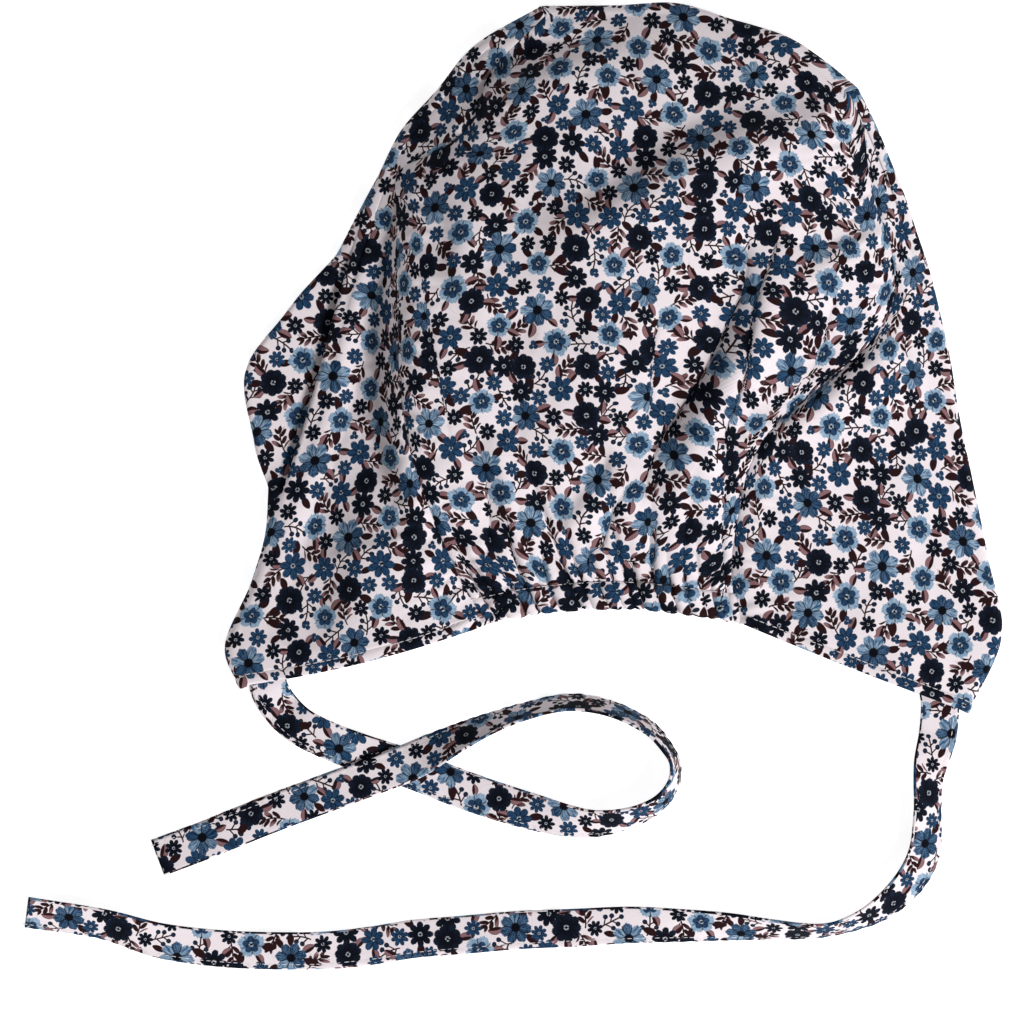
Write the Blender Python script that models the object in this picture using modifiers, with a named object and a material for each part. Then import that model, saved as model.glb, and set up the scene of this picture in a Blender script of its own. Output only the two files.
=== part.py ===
"""Tie-back scrub cap of printed cotton, lying flat with its gathered nape side up.

Metres, +Z up. The origin is on the table under the middle of the cap, +X runs across
the cap, and +Y runs from the open rim to the top of the crown.
"""

import math
from collections import namedtuple
from functools import partial

import bmesh
import bpy
import numpy as np

CAP_WIDTH = 0.303
CAP_LENGTH = 0.276
CROWN_RISE = 0.034
CLOTH_WALL = 0.0012
FOLD_RADIUS = 0.0042
SEAM_GAP = 0.0005
SEAM_DIP = 0.0016
SEAM_DIP_REACH = 0.007
HEM_WIDTH = 0.0045
HEM_WALL = 0.0020
CASING_HEIGHT = 0.012
CASING_WALL = 0.0026
GATHER_COUNT = 12
GATHER_DEPTH = 0.0013
GATHER_REACH = 0.013
PLEAT_COUNT = 4.5
PLEAT_DEPTH = 0.0024
PLEAT_REACH = 0.055
CROWN_UNDERLAP = 0.020
UNDERLAP_LEAN = 0.009
SIDE_ROUNDING = 0.045
LEFT_RIM_BOW = 0.0028
RIGHT_RIM_BOW = 0.0006
TIE_WIDTH = 0.015
TIE_THICKNESS = 0.0016
TABLE_GAP = 0.0001

# The tuck on the left, where the cloth turns back under before its outermost bend:
# the outer bends' radius as a share of FOLD_RADIUS, and the tuck's depth as a share
# of how far the layer behind stands out. The pleats crowd a little toward the right.
OUTER_BEND_SHARE = 0.37
TUCK_SHARE = 0.5
PLEAT_CROWDING = 0.15

# How finely the cloth is divided
SIDE_COLUMNS = 6
UNDER_COLUMNS = 10
TURN_STEPS = 4
LEVELS = 22
CROWN_COLUMNS = 48
CASING_ROWS = 2
UNDERLAP_ROWS = 3
OUTLINE_SAMPLES = 181
SEAM_SAMPLES = 60
FOLD_SAMPLES = 13
TIE_SAMPLES = 40
STATION_SPACING = 0.0075
SHORT_STEP = 0.03
LEVEL_SHARES = np.linspace(0, 1, LEVELS + 1)
BEND_ANGLES = tuple(math.radians(angle) for angle in (-90, -45, 0, 45, 90))

# Each row is one line of the band on the seen side, from the crown's seam to where the
# cloth turns under, from the rim upwards. across is a share of CAP_WIDTH and along a
# share of CAP_LENGTH. peek is how far the layer behind stands out past that turn.
BandLine = namedtuple("BandLine", "seam_across seam_along turn_across turn_along peek")
LEFT_LINES = (
    BandLine(-0.159, -0.374, -0.481, -0.468, 0.000),
    BandLine(-0.195, -0.317, -0.501, -0.405, 0.000),
    BandLine(-0.226, -0.242, -0.466, -0.312, 0.000),
    BandLine(-0.257, -0.150, -0.440, -0.222, 0.007),
    BandLine(-0.272, -0.059, -0.407, -0.122, 0.056),
    BandLine(-0.276, 0.033, -0.380, -0.019, 0.095),
    BandLine(-0.278, 0.125, -0.360, 0.066, 0.062),
    BandLine(-0.279, 0.202, -0.335, 0.160, 0.021),
    BandLine(-0.276, 0.263, -0.307, 0.252, 0.000),
    BandLine(-0.224, 0.291, -0.275, 0.321, 0.000),
    BandLine(-0.180, 0.336, -0.230, 0.377, 0.000),
    BandLine(-0.158, 0.405, -0.179, 0.443, 0.000),
)
RIGHT_LINES = (
    BandLine(0.162, -0.374, 0.455, -0.502, 0.000),
    BandLine(0.150, -0.305, 0.499, -0.393, 0.000),
    BandLine(0.157, -0.228, 0.482, -0.284, 0.000),
    BandLine(0.175, -0.146, 0.462, -0.174, 0.000),
    BandLine(0.212, -0.087, 0.445, -0.084, 0.000),
    BandLine(0.258, -0.046, 0.433, -0.002, 0.000),
    BandLine(0.326, 0.019, 0.419, 0.068, 0.000),
    BandLine(0.357, 0.083, 0.406, 0.125, 0.000),
    BandLine(0.355, 0.153, 0.389, 0.181, 0.000),
    BandLine(0.338, 0.209, 0.374, 0.231, 0.000),
    BandLine(0.326, 0.266, 0.357, 0.277, 0.000),
    BandLine(0.319, 0.325, 0.338, 0.328, 0.000),
)

# Edges that run across the cap, in the same shares, from left to right
EdgePoint = namedtuple("EdgePoint", "across along")
CROWN_TOP = (
    EdgePoint(-0.094, 0.498),
    EdgePoint(0.002, 0.499),
    EdgePoint(0.080, 0.502),
    EdgePoint(0.150, 0.480),
    EdgePoint(0.220, 0.456),
    EdgePoint(0.267, 0.424),
    EdgePoint(0.314, 0.382),
)
NAPE_EDGE = (
    EdgePoint(-0.159, -0.374),
    EdgePoint(-0.095, -0.362),
    EdgePoint(-0.031, -0.356),
    EdgePoint(0.033, -0.356),
    EdgePoint(0.098, -0.364),
    EdgePoint(0.162, -0.374),
)
FRONT_EDGE = (
    EdgePoint(-0.481, -0.468),
    EdgePoint(-0.365, -0.428),
    EdgePoint(-0.237, -0.391),
    EdgePoint(-0.108, -0.349),
    EdgePoint(-0.001, -0.329),
    EdgePoint(0.111, -0.349),
    EdgePoint(0.239, -0.404),
    EdgePoint(0.342, -0.456),
    EdgePoint(0.455, -0.502),
)

# How high the seen side stands at a height along the cap, as a share of CROWN_RISE
RiseLevel = namedtuple("RiseLevel", "along share")
RISE_LEVELS = (
    RiseLevel(-0.52, 0.20),
    RiseLevel(-0.36, 0.34),
    RiseLevel(-0.20, 0.62),
    RiseLevel(0.00, 0.88),
    RiseLevel(0.20, 1.00),
    RiseLevel(0.52, 1.00),
)

# Main ridges and dips of the seen side: where each starts, bends and ends, how far it
# spreads to either side as a share of CAP_WIDTH, and its height as a share of CROWN_RISE
Fold = namedtuple("Fold", "start bend end spread height")
FOLDS = (
    Fold((-0.15, 0.18), (0.03, 0.28), (0.27, 0.38), 0.030, -0.13),
    Fold((-0.12, 0.10), (0.06, 0.22), (0.26, 0.30), 0.035, 0.09),
    Fold((0.17, 0.18), (0.17, 0.06), (0.04, -0.15), 0.016, -0.12),
    Fold((0.22, 0.20), (0.19, 0.04), (0.08, -0.14), 0.020, 0.07),
    Fold((0.33, 0.14), (0.27, 0.13), (0.22, 0.06), 0.018, -0.08),
    Fold((-0.23, 0.26), (-0.21, 0.12), (-0.10, 0.05), 0.016, -0.08),
    Fold((-0.16, -0.12), (-0.13, -0.20), (-0.11, -0.30), 0.014, -0.08),
    Fold((0.01, -0.12), (-0.04, -0.20), (-0.08, -0.28), 0.014, -0.06),
)

# The way each tie lies, from inside the rim to its free end, as a list chosen by hand:
# metres across and along, the roll of the strip in degrees, and how far it is lifted
# by what it lies on. A positive roll lifts the edge on the left of the way it runs.
TiePoint = namedtuple("TiePoint", "across along roll lift")
LEFT_TIE = (
    TiePoint(-0.1357, -0.1207, 0, 0.0026),
    TiePoint(-0.1342, -0.1289, 0, 0.0024),
    TiePoint(-0.1296, -0.1366, 0, 0.0),
    TiePoint(-0.1224, -0.1436, 8, 0.0),
    TiePoint(-0.1116, -0.1491, 8, 0.0),
    TiePoint(-0.0992, -0.1535, 4, 0.0),
    TiePoint(-0.0846, -0.1584, 0, 0.0),
    TiePoint(-0.0679, -0.1648, 0, 0.0),
    TiePoint(-0.0503, -0.1710, 4, 0.0),
    TiePoint(-0.0308, -0.1773, 16, 0.0),
    TiePoint(-0.0113, -0.1812, 40, 0.0),
    TiePoint(0.0043, -0.1796, 56, 0.0),
    TiePoint(0.0160, -0.1745, 65, 0.0),
    TiePoint(0.0226, -0.1667, 72, 0.0),
    TiePoint(0.0238, -0.1585, 76, 0.0),
    TiePoint(0.0207, -0.1519, 74, 0.0),
    TiePoint(0.0133, -0.1437, 70, 0.0),
    TiePoint(-0.0008, -0.1367, 68, 0.0),
    TiePoint(-0.0172, -0.1340, 66, 0.0),
    TiePoint(-0.0328, -0.1369, 66, 0.0002),
    TiePoint(-0.0484, -0.1422, 58, 0.0010),
    TiePoint(-0.0640, -0.1492, 38, 0.0024),
    TiePoint(-0.0796, -0.1572, 8, 0.0028),
    TiePoint(-0.0971, -0.1640, 0, 0.0024),
    TiePoint(-0.1186, -0.1718, 0, 0.0006),
    TiePoint(-0.1400, -0.1800, 0, 0.0),
    TiePoint(-0.1595, -0.1878, 4, 0.0),
    TiePoint(-0.1780, -0.1948, 0, 0.0),
)
RIGHT_TIE = (
    TiePoint(0.1262, -0.1285, 0, 0.0026),
    TiePoint(0.1272, -0.1355, 0, 0.0026),
    TiePoint(0.1263, -0.1470, -4, 0.0),
    TiePoint(0.1235, -0.1570, -24, 0.0),
    TiePoint(0.1224, -0.1659, -38, 0.0),
    TiePoint(0.1223, -0.1769, -42, 0.0),
    TiePoint(0.1213, -0.1917, -32, 0.0),
    TiePoint(0.1155, -0.2034, -34, 0.0),
    TiePoint(0.1053, -0.2136, -48, 0.0),
    TiePoint(0.0940, -0.2196, -64, 0.0),
    TiePoint(0.0811, -0.2229, -70, 0.0),
    TiePoint(0.0620, -0.2227, -58, 0.0),
    TiePoint(0.0413, -0.2215, -40, 0.0),
    TiePoint(0.0230, -0.2210, -26, 0.0),
    TiePoint(-0.0023, -0.2213, -10, 0.0),
    TiePoint(-0.0402, -0.2233, 0, 0.0),
    TiePoint(-0.0757, -0.2262, 0, 0.0),
    TiePoint(-0.0944, -0.2290, 0, 0.0),
    TiePoint(-0.1186, -0.2311, -8, 0.0),
    TiePoint(-0.1502, -0.2303, -12, 0.0),
    TiePoint(-0.1763, -0.2272, -20, 0.0),
    TiePoint(-0.1993, -0.2206, -36, 0.0),
    TiePoint(-0.2290, -0.2160, -34, 0.0),
)


def spline(rows, share):
    """Points of a smooth curve through the rows, at shares 0 to 1 of the way along it."""
    rows = np.asarray(rows, float)
    before = 2 * rows[0] - rows[1]
    after = 2 * rows[-1] - rows[-2]
    rows = np.vstack([before, rows, after])
    place = np.clip(np.asarray(share, float), 0, 1) * (len(rows) - 3)
    index = np.minimum(place.astype(int), len(rows) - 4)
    t = (place - index)[..., None]
    a, b, c, d = (rows[index + step] for step in range(4))
    return 0.5 * (
        2 * b + (c - a) * t + (2 * a - 5 * b + 4 * c - d) * t**2 + (3 * b - a - 3 * c + d) * t**3
    )


def plan(across, along):
    return np.array([across * CAP_WIDTH, along * CAP_LENGTH])


def plan_rows(points):
    return np.array([plan(point.across, point.along) for point in points])


def mix(first, last, share):
    return first + (last - first) * share


def distance_to_curve(points, curve):
    """Distance of each plan point from a curve of plan points, and the share of the way along it."""
    start, step = curve[:-1], np.diff(curve, axis=0)
    offset = points[..., None, :] - start
    share = np.clip((offset * step).sum(-1) / (step**2).sum(-1), 0, 1)
    gaps = np.linalg.norm(offset - share[..., None] * step, axis=-1)
    nearest = gaps.argmin(-1)[..., None]
    along = (nearest + np.take_along_axis(share, nearest, -1))[..., 0] / len(step)
    return gaps.min(-1), along


class Outline:
    """The cap's outer edge: up the left side, over the crown's top and down the right."""

    def __init__(self, left, top, right):
        self.left, self.top, self.right = left, top, right
        self.samples = self.point(np.linspace(0, 3, OUTLINE_SAMPLES))

    def point(self, way):
        """Plan points at way 0 to 1 up the left, 1 to 2 over the top, 2 to 3 down the right."""
        way = np.clip(np.asarray(way, float), 0, 3)
        found = np.where(way[..., None] < 1, spline(self.left, way), spline(self.top, way - 1))
        return np.where(way[..., None] > 2, spline(self.right, 3 - way), found)

    def inward(self, way):
        way = np.asarray(way, float)
        along = self.point(way + SHORT_STEP) - self.point(way - SHORT_STEP)
        along /= np.linalg.norm(along, axis=-1)[..., None]
        return np.stack([along[..., 1], -along[..., 0]], axis=-1)

    def middle(self, way, inset):
        """Plan points of the cloth's middle, where its outer face lies an inset inside the outline."""
        return self.point(way) + self.inward(way) * (inset + CLOTH_WALL / 2)

    def distance(self, points):
        return distance_to_curve(points, self.samples)[0]


def turn_rows(lines, crown_corner):
    rows = [plan(line.turn_across, line.turn_along) for line in lines]
    return np.vstack([rows, crown_corner])


def seam_rows(lines, outline, way):
    """The crown's seam on the seen side, up to where it goes over the turn."""
    rows = [plan(line.seam_across, line.seam_along) for line in lines]
    return np.vstack([rows, outline.middle(way, FOLD_RADIUS)])


crown_top = plan_rows(CROWN_TOP)
nape_edge = plan_rows(NAPE_EDGE)
front_edge = plan_rows(FRONT_EDGE)
left_turn = turn_rows(LEFT_LINES, crown_top[0])
right_turn = turn_rows(RIGHT_LINES, crown_top[-1])
left_peek = np.array([plan(line.peek, 0) for line in LEFT_LINES] + [plan(0, 0)])
seen_outline = Outline(left_turn, crown_top, right_turn)
under_outline = Outline(left_turn - left_peek, crown_top, right_turn)
left_seam = seam_rows(LEFT_LINES, seen_outline, 1)
right_seam = seam_rows(RIGHT_LINES, seen_outline, 2)
seam_curves = [spline(seam, np.linspace(0, 1, SEAM_SAMPLES)) for seam in (left_seam, right_seam)]
fold_curves = [
    spline([plan(*fold.start), plan(*fold.bend), plan(*fold.end)], np.linspace(0, 1, FOLD_SAMPLES))
    for fold in FOLDS
]


def rounding(points):
    """How fully the seen side has risen at plan points, from 0 at its turn to 1 far inside."""
    inside = seen_outline.distance(points) - FOLD_RADIUS - CLOTH_WALL / 2
    return 1 - np.exp(-np.maximum(inside, 0) / SIDE_ROUNDING)


def seen_height(points):
    """How far the middle of the cloth on the seen side stands above the turn's upper bend."""
    side = rounding(points)
    along = [level.along * CAP_LENGTH for level in RISE_LEVELS]
    height = CROWN_RISE * np.interp(points[..., 1], along, [level.share for level in RISE_LEVELS])
    for curve in seam_curves:
        gap, _ = distance_to_curve(points, curve)
        height = height - SEAM_DIP * np.exp(-((gap / SEAM_DIP_REACH) ** 2))
    for fold, curve in zip(FOLDS, fold_curves):
        gap, share = distance_to_curve(points, curve)
        bump = np.sin(math.pi * share) * np.exp(-((gap / (fold.spread * CAP_WIDTH)) ** 2))
        height = height + fold.height * CROWN_RISE * bump
    return height * side


def with_height(points, height):
    height = np.broadcast_to(height, points.shape[:-1])
    return np.concatenate([points, height[..., None]], axis=-1)


def on_seen_side(points, wall):
    return with_height(points, wall / 2 + 2 * FOLD_RADIUS + seen_height(points))


def on_under_side(points, wall):
    return with_height(points, wall / 2)


def tuck_profile(peek):
    """The bends of a tucked turn from the under side up: inset, place and height of each point.

    place is 0 at the edge of the layer behind and 1 at the turn of the seen side.
    """
    outer = OUTER_BEND_SHARE * FOLD_RADIUS
    middle = FOLD_RADIUS - 2 * outer
    tuck = TUCK_SHARE * peek
    upper = 2 * (outer + middle)
    profile = [(outer * (1 - math.cos(a)), 0, outer * (1 + math.sin(a))) for a in BEND_ANGLES]
    profile += [(outer, 0.5, 2 * outer)]
    profile += [(tuck - middle, 1, 2 * outer), (tuck, 1, 2 * outer + middle), (tuck - middle, 1, upper)]
    profile += [(outer * (1 - math.cos(a)), 1, upper + outer * (1 + math.sin(a))) for a in BEND_ANGLES]
    return profile


TUCK_POINTS = len(tuck_profile(0))


def tucked_turn(index, up, wall):
    """One column of the left turn, from the seen side down. It is a plain bend where no layer
    behind stands out, and becomes a tuck as that layer does."""
    edge, inward = under_outline.middle(up, 0), under_outline.inward(up)
    to_turn = seen_outline.middle(up, 0) - edge
    peek = np.linalg.norm(to_turn, axis=-1)[..., None]
    tucked = np.clip(peek / (4 * FOLD_RADIUS), 0, 1)
    tucked = tucked**2 * (3 - 2 * tucked)
    step = TUCK_POINTS - 1 - index
    inset, place, height = tuck_profile(peek)[step]
    share = step / (TUCK_POINTS - 1)
    angle = math.pi * (share - 0.5)
    plain_inset = FOLD_RADIUS * (1 - math.cos(angle))
    plain_height = FOLD_RADIUS * (1 + math.sin(angle))
    place = mix(max(0.0, 2 * share - 1), place, tucked)
    points = edge + to_turn * place
    points = points + mix(inward, seen_outline.inward(up), place) * mix(plain_inset, inset, tucked)
    return with_height(points, wall / 2 + mix(plain_height, height, tucked)[..., 0])


def plain_turn(index, way, wall):
    """One line of a plain turn, from 0 on the seen side to TURN_STEPS on the under side."""
    angle = math.pi * (0.5 - index / TURN_STEPS)
    points = seen_outline.middle(way, FOLD_RADIUS * (1 - math.cos(angle)))
    return with_height(points, wall / 2 + FOLD_RADIUS * (1 + math.sin(angle)))


def side_points(share, up, seam, way, bow):
    """Plan points of the seen band between the seam, at share 0, and the turn, at share 1."""
    points = mix(spline(seam, up), seen_outline.middle(way, FOLD_RADIUS), share)
    points[..., 1] -= bow * 4 * share * (1 - share) * (1 - up) ** 4
    return points


def left_side(share, up, wall):
    return on_seen_side(side_points(share, up, left_seam, up, LEFT_RIM_BOW), wall)


def right_side(share, up, wall):
    return on_seen_side(side_points(share, up, right_seam, 3 - up, RIGHT_RIM_BOW), wall)


def right_turn_column(index, up, wall):
    return plain_turn(TURN_STEPS - index, 3 - up, wall)


def underlap_edge(share):
    """Plan points of the crown's seam where it lies underneath, below the top turn."""
    share = np.asarray(share, float)[..., None]
    straight = mix(seen_outline.middle(1, FOLD_RADIUS), seen_outline.middle(2, FOLD_RADIUS), share)
    return straight + np.array([UNDERLAP_LEAN, -CROWN_UNDERLAP]) * 4 * share * (1 - share)


def under_side(share, up, wall):
    """One column of the lower layer, at a share of the way from the left turn to the right."""
    straight = mix(
        under_outline.middle(up, FOLD_RADIUS), seen_outline.middle(3 - up, FOLD_RADIUS), share
    )
    rim = spline(front_edge, share) - mix(front_edge[0], front_edge[-1], share)
    top = underlap_edge(share) - mix(underlap_edge(0), underlap_edge(1), share)
    height_share = up[..., None]
    return on_under_side(straight + (1 - height_share) * rim + height_share * top, wall)


def band_columns(wall):
    """Functions that give each column of the band's cloth at shares 0 to 1 up the cap, from the
    left seam round the under side to the right seam."""
    columns = [partial(left_side, step / SIDE_COLUMNS) for step in range(SIDE_COLUMNS)]
    columns += [partial(tucked_turn, index) for index in range(TUCK_POINTS)]
    columns += [partial(under_side, step / UNDER_COLUMNS) for step in range(1, UNDER_COLUMNS)]
    columns += [partial(right_turn_column, index) for index in range(TURN_STEPS + 1)]
    columns += [partial(right_side, 1 - (step + 1) / SIDE_COLUMNS) for step in range(SIDE_COLUMNS)]
    return [partial(column, wall=wall) for column in columns]


def share_of_length(column, length):
    """The share up a column of cloth that lies this length above the rim."""
    step = np.diff(column(np.array([0.0, SHORT_STEP])), axis=0)
    return length / np.linalg.norm(step) * SHORT_STEP


def band_grid():
    columns = []
    for column in band_columns(CLOTH_WALL):
        shares = LEVEL_SHARES.copy()
        shares[0] = share_of_length(column, HEM_WIDTH)
        columns.append(column(shares))
    return np.stack(columns, axis=1)


def hem_grid():
    columns = []
    for column in band_columns(HEM_WALL):
        top = share_of_length(column, HEM_WIDTH - SEAM_GAP)
        columns.append(column(np.array([0.0, top])))
    return np.stack(columns, axis=1)


def crown_plan(across, up):
    """Plan points of the seen part of the nape casing and crown, from the rim to the top turn."""
    across_share, up_share = across[..., None], up[..., None]
    rim = spline(nape_edge, across) - mix(nape_edge[0], nape_edge[-1], across_share)
    top_ends = seen_outline.middle(1, FOLD_RADIUS), seen_outline.middle(2, FOLD_RADIUS)
    top = seen_outline.middle(1 + across, FOLD_RADIUS) - mix(*top_ends, across_share)
    straight = mix(spline(left_seam, up), spline(right_seam, up), across_share)
    return straight + (1 - up_share) * rim + up_share * top


def gathers(across, points):
    """Height of the small gathers at the casing and of the wider pleats that grow out of them."""
    above_rim = points[..., 1] - spline(nape_edge, across)[..., 1]
    above_casing = np.maximum(above_rim - CASING_HEIGHT, 0)
    small = GATHER_DEPTH * np.cos(2 * math.pi * GATHER_COUNT * across)
    wide = PLEAT_DEPTH * np.sin(2 * math.pi * PLEAT_COUNT * (across + PLEAT_CROWDING * across**2))
    wide = wide * np.clip(above_rim / CASING_HEIGHT, 0, 1)
    ends = np.sqrt(np.clip(np.sin(math.pi * across), 0, 1))
    return ends * (small * np.exp(-above_casing / GATHER_REACH) + wide * np.exp(-above_casing / PLEAT_REACH))


def crown_seen(across, up, wall):
    points = crown_plan(across, up)
    found = on_seen_side(points, wall)
    side = np.clip(seen_outline.distance(points) / SIDE_ROUNDING, 0, 1)
    found[..., 2] += gathers(across, points) * side
    return found


def casing_share(across):
    """The share up the crown at which the casing ends, for its own height of cloth."""
    step = crown_plan(across, SHORT_STEP + 0 * across) - crown_plan(across, 0 * across)
    return CASING_HEIGHT / np.linalg.norm(step, axis=-1) * SHORT_STEP


def crown_grid():
    across = np.linspace(0, 1, CROWN_COLUMNS + 1)
    casing_top = casing_share(across)
    levels = LEVEL_SHARES[LEVEL_SHARES > casing_top.max() + 0.5 / LEVELS]
    rows = [crown_seen(across, casing_top, CLOTH_WALL)]
    rows += [crown_seen(across, level + 0 * across, CLOTH_WALL) for level in levels]
    rows += [plain_turn(index, 1 + across, CLOTH_WALL) for index in range(1, TURN_STEPS + 1)]
    inner = rows[-1][..., :2]
    for index in range(1, UNDERLAP_ROWS + 1):
        points = mix(inner, underlap_edge(across), index / UNDERLAP_ROWS)
        rows.append(on_under_side(points, CLOTH_WALL))
    return np.stack(rows)


def casing_grid():
    across = np.linspace(0, 1, CROWN_COLUMNS + 1)
    top = casing_share(across) * (1 - SEAM_GAP / CASING_HEIGHT)
    shares = np.linspace(0, 1, CASING_ROWS + 1)
    return np.stack([crown_seen(across, top * share, CASING_WALL) for share in shares])


def drawn_in(grid, edge, beside):
    """The grid with one edge drawn toward the line beside it by half the seam's gap."""
    grid = grid.copy()
    step = grid[beside] - grid[edge]
    length = np.maximum(np.linalg.norm(step, axis=-1)[..., None], 1e-6)
    grid[edge] = grid[edge] + step / length * np.minimum(SEAM_GAP / 2, length / 2)
    return grid


def sides_drawn_in(grid):
    grid = drawn_in(grid, np.s_[:, 0], np.s_[:, 1])
    return drawn_in(grid, np.s_[:, -1], np.s_[:, -2])


def end_drawn_in(grid):
    return drawn_in(grid, np.s_[-1], np.s_[-2])


def material(name, colour, roughness):
    made = bpy.data.materials.new(name)
    made.use_nodes = True
    shader = made.node_tree.nodes["Principled BSDF"]
    shader.inputs["Base Color"].default_value = (*colour, 1.0)
    shader.inputs["Roughness"].default_value = roughness
    return made


def cloth_object(name, grid, wall, cloth, collection):
    """A sheet of cloth from a grid of points, with its wall as a Solidify modifier."""
    rows, columns = grid.shape[:2]
    sheet = bmesh.new()
    verts = [[sheet.verts.new(point) for point in row] for row in grid]
    for row in range(rows - 1):
        for column in range(columns - 1):
            lower = verts[row][column : column + 2]
            upper = verts[row + 1][column : column + 2]
            sheet.faces.new(lower + upper[::-1])
    bmesh.ops.remove_doubles(sheet, verts=sheet.verts, dist=1e-6)
    bmesh.ops.dissolve_degenerate(sheet, edges=sheet.edges, dist=1e-6)
    bmesh.ops.recalc_face_normals(sheet, faces=sheet.faces)
    mesh = bpy.data.meshes.new(name)
    sheet.to_mesh(mesh)
    sheet.free()
    mesh.shade_smooth()
    mesh.materials.append(cloth)
    made = bpy.data.objects.new(name, mesh)
    solidify = made.modifiers.new("wall", "SOLIDIFY")
    solidify.thickness = wall
    solidify.offset = 0.0
    solidify.use_even_offset = False
    collection.objects.link(made)


def tie_stations(points):
    """Centres and rolls of the strip at even steps along a smooth curve through its points."""
    fine = spline([tuple(point) for point in points], np.linspace(0, 1, TIE_SAMPLES * len(points)))
    steps = np.linalg.norm(np.diff(fine[:, :2], axis=0), axis=1)
    length = np.concatenate([[0], np.cumsum(steps)])
    even = np.linspace(0, length[-1], round(length[-1] / STATION_SPACING) + 1)
    across, along, roll, lift = (np.interp(even, length, values) for values in fine.T)
    roll = np.radians(roll)
    half_height = (TIE_WIDTH - TIE_THICKNESS) / 2 * np.abs(np.sin(roll)) + TIE_THICKNESS / 2
    height = TABLE_GAP + half_height + np.maximum(lift, 0)
    return np.stack([across, along, height], axis=1), roll


def tie_object(name, points, cloth, collection):
    """A flat folded strip, as a curve whose bevel rounds its edges and whose tilt rolls it."""
    centres, rolls = tie_stations(points)
    curve = bpy.data.curves.new(name, "CURVE")
    curve.dimensions = "3D"
    curve.twist_mode = "Z_UP"
    curve.extrude = (TIE_WIDTH - TIE_THICKNESS) / 2
    curve.bevel_depth = TIE_THICKNESS / 2
    curve.bevel_resolution = 0
    curve.use_fill_caps = True
    curve.materials.append(cloth)
    strip = curve.splines.new("POLY")
    strip.points.add(len(centres) - 1)
    for point, centre, roll in zip(strip.points, centres, rolls):
        point.co = (*centre, 1.0)
        point.tilt = math.pi / 2 + roll
    collection.objects.link(bpy.data.objects.new(name, curve))


def main():
    for old in list(bpy.data.objects):
        bpy.data.objects.remove(old)
    cap = bpy.data.collections.new("scrub_cap")
    bpy.context.scene.collection.children.link(cap)
    printed = material("printed_cotton", (0.42, 0.44, 0.52), 0.85)
    hemmed = material("hem_cotton", (0.48, 0.48, 0.55), 0.85)
    taped = material("tie_cotton", (0.38, 0.41, 0.50), 0.85)
    cloth_object("band", end_drawn_in(sides_drawn_in(band_grid())), CLOTH_WALL, printed, cap)
    cloth_object("crown", end_drawn_in(sides_drawn_in(crown_grid())), CLOTH_WALL, printed, cap)
    cloth_object("nape_casing", sides_drawn_in(casing_grid()), CASING_WALL, hemmed, cap)
    cloth_object("rim_hem", sides_drawn_in(hem_grid()), HEM_WALL, hemmed, cap)
    tie_object("tie_left", LEFT_TIE, taped, cap)
    tie_object("tie_right", RIGHT_TIE, taped, cap)


main()
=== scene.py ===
"""Looks of a tie-back scrub cap of printed cotton, lying flat with its gathered nape side up.

Metres, +Z up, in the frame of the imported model. The sections in their order: where the cap
lies, how the ties lie, the print and its cotton, the ties, the outline and the folds, the
band, the crown, the nape casing, the thread ends and the rim hem.
"""

import math
from collections import namedtuple
from functools import partial

import bmesh
import bpy
import numpy as np
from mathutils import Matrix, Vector, noise


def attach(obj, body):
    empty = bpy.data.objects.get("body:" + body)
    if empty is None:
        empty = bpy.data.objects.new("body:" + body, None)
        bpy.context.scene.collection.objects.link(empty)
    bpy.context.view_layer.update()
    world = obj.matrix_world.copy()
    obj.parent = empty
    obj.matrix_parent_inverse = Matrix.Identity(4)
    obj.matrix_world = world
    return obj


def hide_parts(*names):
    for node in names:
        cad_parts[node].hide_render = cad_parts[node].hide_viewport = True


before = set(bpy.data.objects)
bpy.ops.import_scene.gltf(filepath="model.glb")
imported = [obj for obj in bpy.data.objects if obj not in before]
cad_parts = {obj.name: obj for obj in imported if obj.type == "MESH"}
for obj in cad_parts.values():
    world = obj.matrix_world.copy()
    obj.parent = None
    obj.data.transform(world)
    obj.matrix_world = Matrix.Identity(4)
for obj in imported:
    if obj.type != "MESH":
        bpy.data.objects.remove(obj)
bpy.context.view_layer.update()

# Where the cap lies: a pale table seen from straight above, through a long lens, in a
# picture PICTURE_WIDTH wide. A broad soft light comes from the lower right of the
# picture, low enough to shade the folds, and a dim one from all round fills them.
PICTURE_WIDTH = 0.3994
PICTURE_CENTRE = Vector((-0.0398, -0.0599, 0.0))
CAMERA_HEIGHT = 5.0
SENSOR_WIDTH = 36.0
TABLE_SIZE = 6.0
TABLE_DROP = 0.0004
TABLE_COLOUR = (0.86, 0.86, 0.86)
TABLE_ROUGHNESS = 0.9
WHITE = (1.0, 1.0, 1.0, 1.0)
KEY_PLACE = Vector((3.1, -2.9, 4.3))
KEY_SIZE = 1.6
KEY_POWER = 392.0
SKY_STRENGTH = 0.23
TABLE_GLOW = 0.80


def add_object(name, data):
    made = bpy.data.objects.new(name, data)
    bpy.context.scene.collection.objects.link(made)
    return made


def plain_finish(name, base, roughness):
    """A material of one colour, and the inputs of its shader."""
    made = bpy.data.materials.new(name)
    made.use_nodes = True
    inputs = made.node_tree.nodes["Principled BSDF"].inputs
    inputs["Base Color"].default_value = (*base, 1.0)
    inputs["Roughness"].default_value = roughness
    return made, inputs


lens = bpy.data.cameras.new("camera")
lens.sensor_width = SENSOR_WIDTH
lens.lens = SENSOR_WIDTH * CAMERA_HEIGHT / PICTURE_WIDTH
camera = add_object("camera", lens)
camera.location = PICTURE_CENTRE + Vector((0.0, 0.0, CAMERA_HEIGHT))
bpy.context.scene.camera = camera
bpy.context.scene.view_settings.view_transform = "Standard"

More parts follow.
